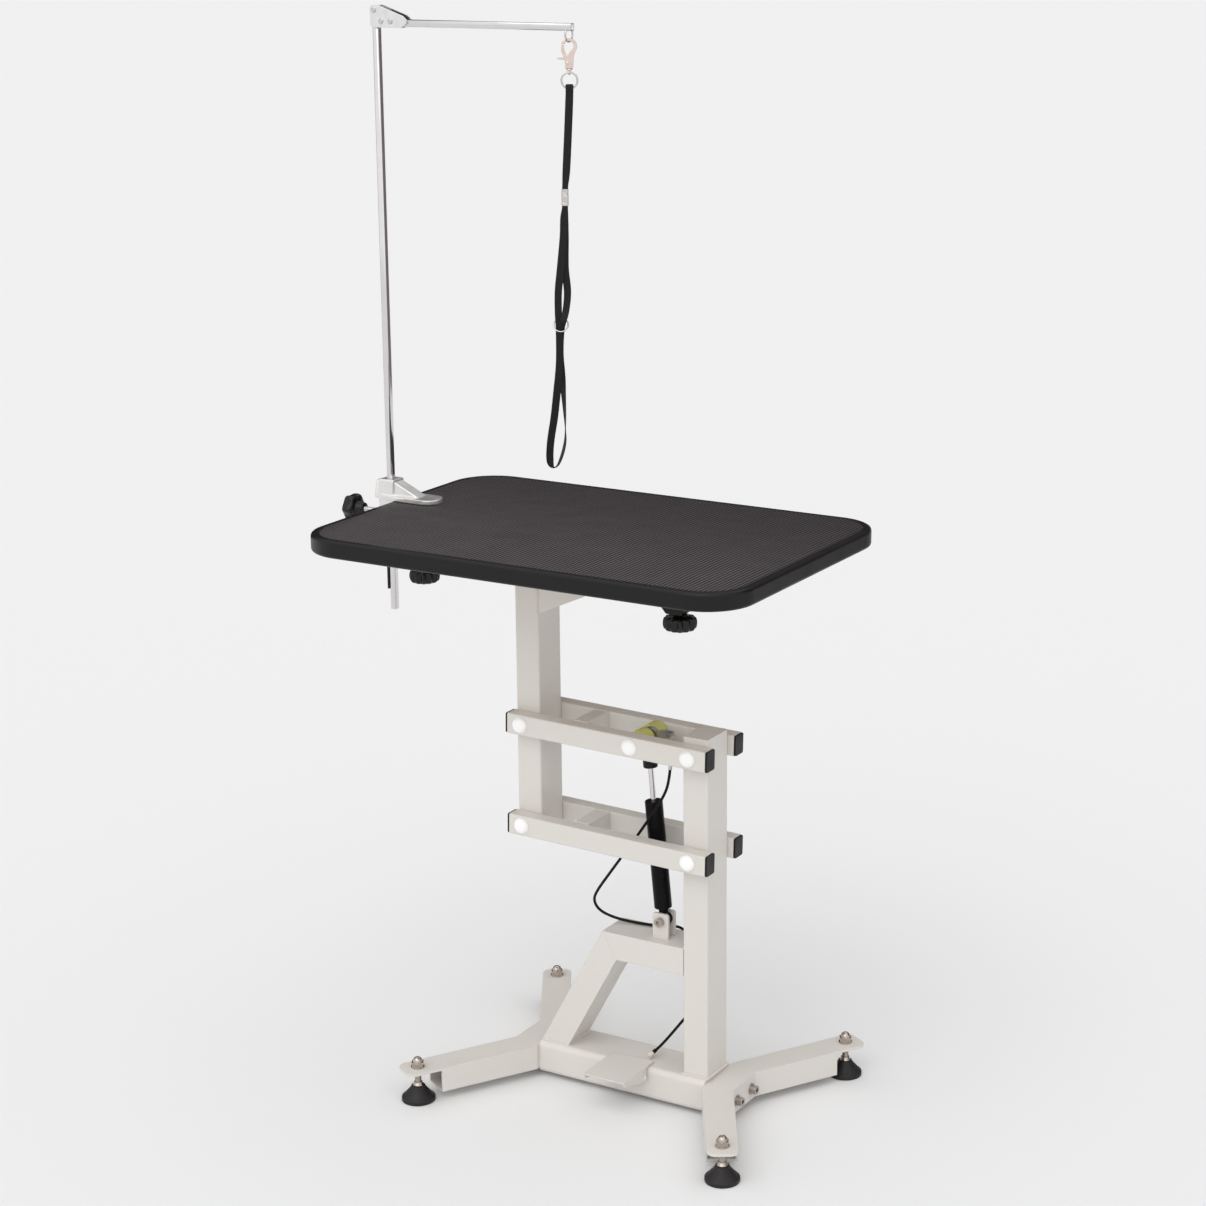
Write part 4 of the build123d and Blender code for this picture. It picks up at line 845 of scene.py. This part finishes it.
# Along the band: sideways and upward place, place towards the viewer, twist in degrees, width
BAND = [
    (0, 1466.0, -2.3, 0, 10.6), (0, 1461, -2.7, 0, 10.8), (-0.6, 1447, -1.0, 0, 10.8),
    (-3.0, 1400, -0.8, 1, 10.8), (-5.8, 1352, -0.8, 0, 10.6), (-7.6, 1329, -0.8, 0, 8.4),
    (-8.2, 1313, -0.8, 0, 8.0), (-8.3, 1299, -0.8, 0, 8.4), (-9.2, 1284, -0.9, -2, 10.8),
    (-9.0, 1255, -1.2, -6, 10.8), (-9.4, 1215, -1.6, -6, 10.8), (-6.4, 1182, -1.6, 8, 10.4),
    (-8.8, 1156, 1.2, 18, 10.2), (-12.6, 1142, 7.2, 12, 9.8), (-15.4, 1131, 1.2, 8, 9.6),
    (-17.6, 1112, -0.9, 3, 10.4), (-18.2, 1090, -1.0, 0, 10.8), (-16.4, 1066, -1.2, -12, 10.8),
    (-14.2, 1040, -1.4, -50, 10.8), (-12.3, 1004, -1.0, -76, 10.8), (-11.9, 986, -0.6, -92, 10.8),
    (-12.2, 970, 0, -106, 10.8), (-15.0, 955, 0, -110, 10.8), (-20.0, 940, 0, -106, 10.8),
    (-24.6, 932, 0, -92, 10.8), (-29.4, 930, 0, -66, 10.8), (-33.4, 934.5, 0, -34, 10.8),
    (-34.6, 944, 0, -6, 10.6), (-33.9, 960, 0.2, 4, 10.6), (-31.6, 978, 0.4, 4, 10.6),
    (-27.4, 1003, 0.7, 2, 10.8), (-23.0, 1040, 0.9, 0, 10.8), (-20.0, 1066, 1.0, 0, 10.8),
    (-18.5, 1088, 1.0, 0, 10.8), (-18.2, 1112, 0.9, -2, 10.8), (-18.6, 1134, 0.6, -4, 10.4),
    (-19.6, 1152, 0.4, -8, 10.4), (-19.2, 1182, 0.6, -4, 10.4), (-15.7, 1213, 0.9, 0, 10.8),
    (-11.0, 1258, 1.0, 0, 10.8), (-9.8, 1284, 1.0, 0, 10.8), (-8.4, 1299, 0.9, 0, 8.4),
    (-8.2, 1313, 0.8, 0, 8.0), (-7.6, 1329, 0.9, 0, 8.4), (-5.6, 1352, 0.9, 0, 10.6),
    (-2.8, 1400, 0.9, -1, 10.8), (-0.4, 1447, 1.0, 0, 10.8), (0, 1461, 2.7, 0, 10.8),
    (0, 1466.0, 2.3, 0, 10.6), (0, 1467.6, 0, 0, 10.4),
]


def hang_place(side_mm, up_mm, out_mm):
    """A point in the plane that the hook and strap hang in."""
    return HANG_FROM + (HANG_SIDE * side_mm + HANG_OUT * out_mm) * MM + AXIS_Z * up_mm * MM


def smoothed(rows, steps):
    """A closed Catmull-Rom line through rows of numbers."""
    count = len(rows)
    line = []
    for i in range(count):
        a, b, c, d = (rows[(i + k) % count] for k in (-1, 0, 1, 2))
        for s in range(steps):
            t = s / steps
            point = []
            for p, q, r, u in zip(a, b, c, d):
                square, cube = 2 * p - 5 * q + 4 * r - u, 3 * q - p - 3 * r + u
                point.append(0.5 * (2 * q + (r - p) * t + square * t * t + cube * t ** 3))
            line.append(point)
    return line


def build_strap(fabric):
    """The webbing loop, one closed band that is folded over the round ring and twists at its foot."""
    ply, steps = 1.35, 14
    section = []
    for k in range(20):
        angle = 2 * pi * k / 20
        x, y = cos(angle), sin(angle)
        section.append((abs(x) ** 0.35 * (1 if x > 0 else -1), abs(y) ** 0.7 * (1 if y > 0 else -1)))
    line = smoothed(BAND, steps)
    count = len(line)
    verts, texture = [], []
    run = 0.0
    for i, (side, up, out, twist, width) in enumerate(line):
        here = hang_place(side, up, out)
        ahead = hang_place(*line[(i + 1) % count][:3])
        behind = hang_place(*line[i - 1][:3])
        along = (ahead - behind).normalized()
        flat = HANG_OUT.cross(along)
        if flat.length < 0.2:
            flat = HANG_SIDE.copy()
        flat.normalize()
        if flat.dot(HANG_SIDE) < 0 and abs(twist) < 60:
            flat = -flat
        square = along.cross(flat).normalized()
        turn = radians(twist)
        broad = flat * cos(turn) + square * sin(turn)
        thin = along.cross(broad).normalized()
        run += (ahead - here).length / MM
        for x, y in section:
            bulge = 1 + 0.12 * (1 - x * x)
            verts.append(here + (broad * x * width / 2 + thin * y * bulge * ply / 2) * MM)
            texture.append((run, x * width / 2))
    faces = grid_faces(count, len(section), closed_rows=True)
    strap = add_piece("strap_band", verts, faces, fabric, "strap")
    layer = strap.data.uv_layers.new(name="band")
    for loop in strap.data.loops:
        layer.data[loop.index].uv = texture[loop.vertex_index]
    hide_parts("strap")


def build_ferrule(metal):
    """The crimped ferrule: a flattened sleeve of two turns round both plies."""
    low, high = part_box("strap_ferrule")
    rows, sides = 46, 40
    verts = []
    for i in range(rows):
        t = i / (rows - 1)
        up = (low[2] + (high[2] - low[2]) * t) / MM
        pinch = 0.28 * (0.5 + 0.5 * cos(4 * pi * t + pi)) + 0.15 * (abs(2 * t - 1) ** 8)
        for k in range(sides):
            angle = 2 * pi * k / sides
            seam = 0.7 * max(0.0, cos(2 * pi * (1.6 * t) - angle)) ** 60
            side = -8.2 + (5.0 - 0.5 * pinch) * cos(angle)
            verts.append(hang_place(side, up, (2.6 - pinch - seam) * sin(angle)))
    faces = grid_faces(rows, sides)
    ferrule = add_piece("ferrule_sleeve", verts, faces, metal, "strap")
    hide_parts("strap_ferrule")


# ---------------------------------------------------------------- trims
def build_welds(bead):
    """Weld beads where tubes and plates meet."""
    def ring_z(name, node, z, body, grow=0.5, radius=2.0):
        low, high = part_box(node)
        g = grow * MM
        corners = [(low[0] - g, low[1] - g, z), (high[0] + g, low[1] - g, z),
                   (high[0] + g, high[1] + g, z), (low[0] - g, high[1] + g, z)]
        weld(name, corners, bead, body, radius)

    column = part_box("lower_column")
    ring_z("weld_column_foot", "lower_column", column[0][2] + 0.6 * MM, "base")
    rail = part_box("top_rails")
    ring_z("weld_column_head", "upper_column", rail[0][2] - 0.8 * MM, "lift")

    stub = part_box("brace_stub")
    x = stub[1][0] - 0.5 * MM
    weld("weld_stub_column", [(x, stub[0][1] + 1 * MM, stub[1][2]), (x, stub[1][1] - 1 * MM, stub[1][2])],
         bead, "base", 1.8, closed=False)
    weld("weld_stub_under", [(x, stub[0][1] + 1 * MM, stub[0][2]), (x, stub[1][1] - 1 * MM, stub[0][2])],
         bead, "base", 1.8, closed=False)

    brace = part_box("brace_leg")
    foot = 46 * MM
    z = brace[0][2] + 0.5 * MM
    inner = brace[0][0] + foot
    weld("weld_brace_foot", [(brace[0][0] + 1 * MM, brace[0][1], z), (inner, brace[0][1], z),
                             (inner, brace[1][1], z), (brace[0][0] + 1 * MM, brace[1][1], z)],
         bead, "base", 1.8, closed=False)

    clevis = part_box("spring_clevis")
    for name, y in (("front", clevis[0][1]), ("rear", clevis[1][1])):
        weld(f"weld_clevis_{name}", [(clevis[0][0] + 1 * MM, y, clevis[0][2] + 0.6 * MM),
                                     (clevis[1][0] - 1 * MM, y, clevis[0][2] + 0.6 * MM)],
             bead, "base", 1.8, closed=False)

    for link in ("upper", "lower"):
        low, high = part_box(f"{link}_cross_tube")
        for end, y in (("front", low[1] + 0.6 * MM), ("rear", high[1] - 0.6 * MM)):
            weld(f"weld_{link}_cross_{end}",
                 [(low[0] + 0.4 * MM, y, low[2] + 1 * MM), (high[0] - 0.4 * MM, y, low[2] + 0.6 * MM),
                  (high[0] - 0.4 * MM, y, high[2] - 1 * MM), (low[0] + 0.4 * MM, y, high[2] - 0.6 * MM)],
                 bead, f"{link}_link", 1.5)

    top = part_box("top_beam")
    x = top[0][0] + 0.3 * MM
    for name, y in (("front", top[0][1] - 0.1 * MM), ("rear", top[1][1] + 0.1 * MM)):
        run = [(x, y, top[0][2]), (x, y, top[1][2] - 2 * MM)]
        weld(f"weld_top_{name}", run, bead, "lift", 0.9, closed=False)


def build_screws(metal):
    """Countersunk screws that hold the board to its rails, and a torsion spring on the pedal's pin."""
    low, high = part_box("top_rails")
    inset, rows_y = 20 * MM, (-0.165, -0.09, 0.09, 0.165)
    profile = [(0, -0.2), (1.2, -0.2), (1.6, -1.2), (3.6, -1.0), (4.4, -0.3), (4.5, 0.4)]
    heads = [Vector((x, y, low[2])) for x in (low[0] + inset, high[0] - inset) for y in rows_y]
    for number, origin in enumerate(heads, 1):
        screw = lathe(f"rail_screw_{number}", origin, AXIS_Z, in_mm(profile), metal, "lift", segments=24)

    pivot = joint_at["pedal_press"]
    start_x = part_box("pedal")[0][0] + 16 * MM
    turns, pitch, reach = 5, 2.4 * MM, 4.6 * MM
    coil = []
    for i in range(turns * 20 + 1):
        angle = 2 * pi * i / 20
        coil.append((start_x + pitch * i / 20, pivot.y + reach * cos(angle), pivot.z + reach * sin(angle)))
    coil.insert(0, (start_x - 0.6 * MM, pivot.y - 5 * MM, pivot.z + 12 * MM))
    spring = tube("pedal_spring", coil, 0.9 * MM, metal, "pedal", sides=8)


def square_tube(name, node, axis, material, body):
    """A drawn square tube with rounded corners and open ends, filling a CAD node's box."""
    low, high = (Vector(v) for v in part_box(node))
    centre, size = (low + high) / 2, high - low
    length = size.dot(axis)
    side, other = (AXIS_X, AXIS_Y) if axis == AXIS_Z else (AXIS_Y, AXIS_Z)
    half_side, half_other = size.dot(side) / 2, size.dot(other) / 2
    outer, wall, depth = 2.4 * MM, 1.2 * MM, 14 * MM
    burr = 0.3 * MM
    rings = [(-0.5, wall, depth), (-0.5, wall, 0), (-0.5, burr, 0), (-0.5, 0, burr)]
    rings += [(0.5, 0, -burr), (0.5, burr, 0), (0.5, wall, 0), (0.5, wall, -depth)]
    steps, verts = 7, []
    for end, inset, shift in rings:
        place = centre + axis * (length * end + shift)
        for a, b in rounded_outline(half_side, half_other, outer, inset, steps):
            verts.append(place + side * a + other * b)
    piece = add_piece(name, verts, grid_faces(len(rings), 4 * (steps + 1), closed_rows=True), material, body)
    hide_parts(node)


def block(name, low, high, material, body):
    """A bar with softened edges between two corners, in millimetres."""
    spans = [(a * MM, b * MM) for a, b in zip(low, high)]
    verts = [(x, y, z) for x in spans[0] for y in spans[1] for z in spans[2]]
    faces = [(0, 1, 3, 2), (4, 6, 7, 5), (0, 4, 5, 1), (2, 3, 7, 6), (0, 2, 6, 4), (1, 5, 7, 3)]
    bar = add_piece(name, verts, faces, material, body, smooth=False)
    bevel = bar.modifiers.new("bevel", "BEVEL")
    bevel.width = 0.4 * MM
    bevel.segments = 3


def build_post_strip(black):
    """A black bar beside the post, from 709 mm up to the underside of the clamp."""
    post = Vector(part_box("arm_post")[0]) / MM
    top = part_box("clamp_body")[0][2] / MM
    gap, thick, width, bottom = 0.4, 3.8, 10, 709
    low = (post.x - gap - thick, post.y, bottom)
    block("post_dark_strip", low, (post.x - gap, post.y + width, top), black, "lift")


def build_caps(white):
    """Domed snap caps over the pin ends, each with a scalloped flange."""
    along = joint_at["lift_level"] - joint_at["lift_swing"]
    spring_share = 94 / 278
    flange = [(11.4, -0.1), (12.2, 0.1), (12.4, 0.6), (12.1, 1.1), (11.4, 1.3), (10.2, 1.4)]
    radius, rise, base = 11.2, 5.2, 1.5
    arch = [radians(a) for a in range(0, 91, 9)]
    dome = [(radius, 0.9)] + [(radius * cos(a), base + rise * sin(a)) for a in arch]
    for link, start, shares in (
        ("upper", joint_at["lift_swing"], (0, spring_share, 1)), ("lower", joint_at["lower_swing"], (0, 1)),
    ):
        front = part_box(f"{link}_bar_front")[0][1]
        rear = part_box(f"{link}_bar_rear")[1][1]
        body = f"{link}_link"
        for number, share in enumerate(shares):
            centre = start + along * share
            for side, face, out in (("front", front, -AXIS_Y), ("rear", rear, AXIS_Y)):
                origin = Vector((centre.x, face, centre.z))
                name = f"{link}_cap_{side}_{number}"
                cap = lathe(f"{name}_flange", origin, out, in_mm(flange), white, body, segments=96, lobes=16,
                            depth=0.035)
                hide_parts(f"{link}_pin_caps")
                cap = lathe(f"{name}_dome", origin, out, in_mm(dome), white, body)


def build_swivel(warm):
    """The turned collar under the snap hook."""
    origin = HANG_FROM + AXIS_Z * (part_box("swivel_eye")[1][2] - 5.4 * MM)
    profile = [(1.6, -0.6), (3.4, -0.4), (4.1, 0.3), (4.3, 1.0), (4.0, 1.8), (3.0, 2.2)]
    collar = lathe("swivel_collar", origin, AXIS_Z, in_mm(profile), warm, "strap", segments=40)


# ---------------------------------------------------------------- putting it together
def assign(names, material):
    for name in names:
        mesh = nodes[name].data
        mesh.materials.clear()
        mesh.materials.append(material)


place_camera()
light_studio()
lay_floor()
stand_flag("flag_right", (1.9, 2.5, 0), (-0.6, -0.8, 0), 3.6, 3.2, 0.16)
stand_flag("flag_left", (-3.4, 2.2, 0), (0.7, -0.7, 0), 4.2, 3.6, 0.03)

paint = powder_coat()
black_plastic = moulded_black("moulded_black", 0.4)
black_knob = moulded_black("knob_black", 0.24, 0.005, 0.35, 0.000012)
pad_rubber = moulded_black("pad_rubber", 0.5, 0.012, 0.35, 0.00003)
nickel = plated("nickel", (0.62, 0.6, 0.58), 0.14)
foot_nickel = plated("foot_nickel", (0.5, 0.44, 0.39), 0.2)
warm_nickel = plated("warm_nickel", (0.74, 0.62, 0.56), 0.2)
zinc = plated("zinc", (0.52, 0.52, 0.53), 0.34)
chrome = plated("tube_chrome", (0.72, 0.7, 0.71), 0.11, 0.2, (1, 1, 0.05))
boom_chrome = plated("boom_chrome", (0.7, 0.69, 0.7), 0.11, 0.2, (0.05, 1, 1))
bolt_steel = plated("bolt_steel", (0.45, 0.4, 0.37), 0.25)

frame_nodes = [n for n in nodes if n.startswith(("leg_", "upper_bar", "lower_bar"))]
frame_nodes += [
    "base_beam", "lower_column", "brace_stub", "brace_leg", "spring_clevis", "pedal", "upper_column",
    "top_beam", "top_rails", "upper_cross_tube", "lower_cross_tube",
]
assign(frame_nodes, paint)
assign(["table_board"], fibreboard())
assign(["upper_end_caps", "lower_end_caps", "lock_bracket", "rod_boot"], black_plastic)
assign(["upper_pins", "lower_pins", "release_head", "release_lever"], zinc)
assign(["pin_sleeves"], spacer_yellow())
assign(["spring_cylinder"], spring_paint())
assign(["spring_rod"], chrome)
assign(["knuckle"], plated("knuckle_plate", (0.8, 0.79, 0.79), 0.16, 0.8))
assign(["knuckle_rivets", "hook_ring", "o_ring", "strap_slider"], nickel)
assign(["foot_nuts"], foot_nickel)
assign(["snap_trigger", "swivel_eye"], warm_nickel)
assign(["base_bolts"], bolt_steel)

band_rubber = edge_rubber()
build_mat(ribbed_rubber(), band_rubber)
assign(["edge_band"], band_rubber)
build_knobs(black_knob, nickel)
build_pads(pad_rubber)
build_threads(foot_nickel)
build_cable(cable_sheath(), nickel)
build_strap(webbing())
build_ferrule(nickel)
build_welds(weld_paint())
build_screws(zinc)
build_swivel(warm_nickel)
build_post_strip(black_plastic)
square_tube("post_tube", "arm_post", AXIS_Z, chrome, "post")
square_tube("boom_tube", "arm_boom", AXIS_X, boom_chrome, "boom")
build_caps(gloss_white())
clamp = softened("clamp_body", "clamp_casting", cast_silver(), "lift", 0.8, 6, jaw_mesh())
snap = softened("snap_body", "snap_casting", warm_nickel, "hook", 0.35, 6)
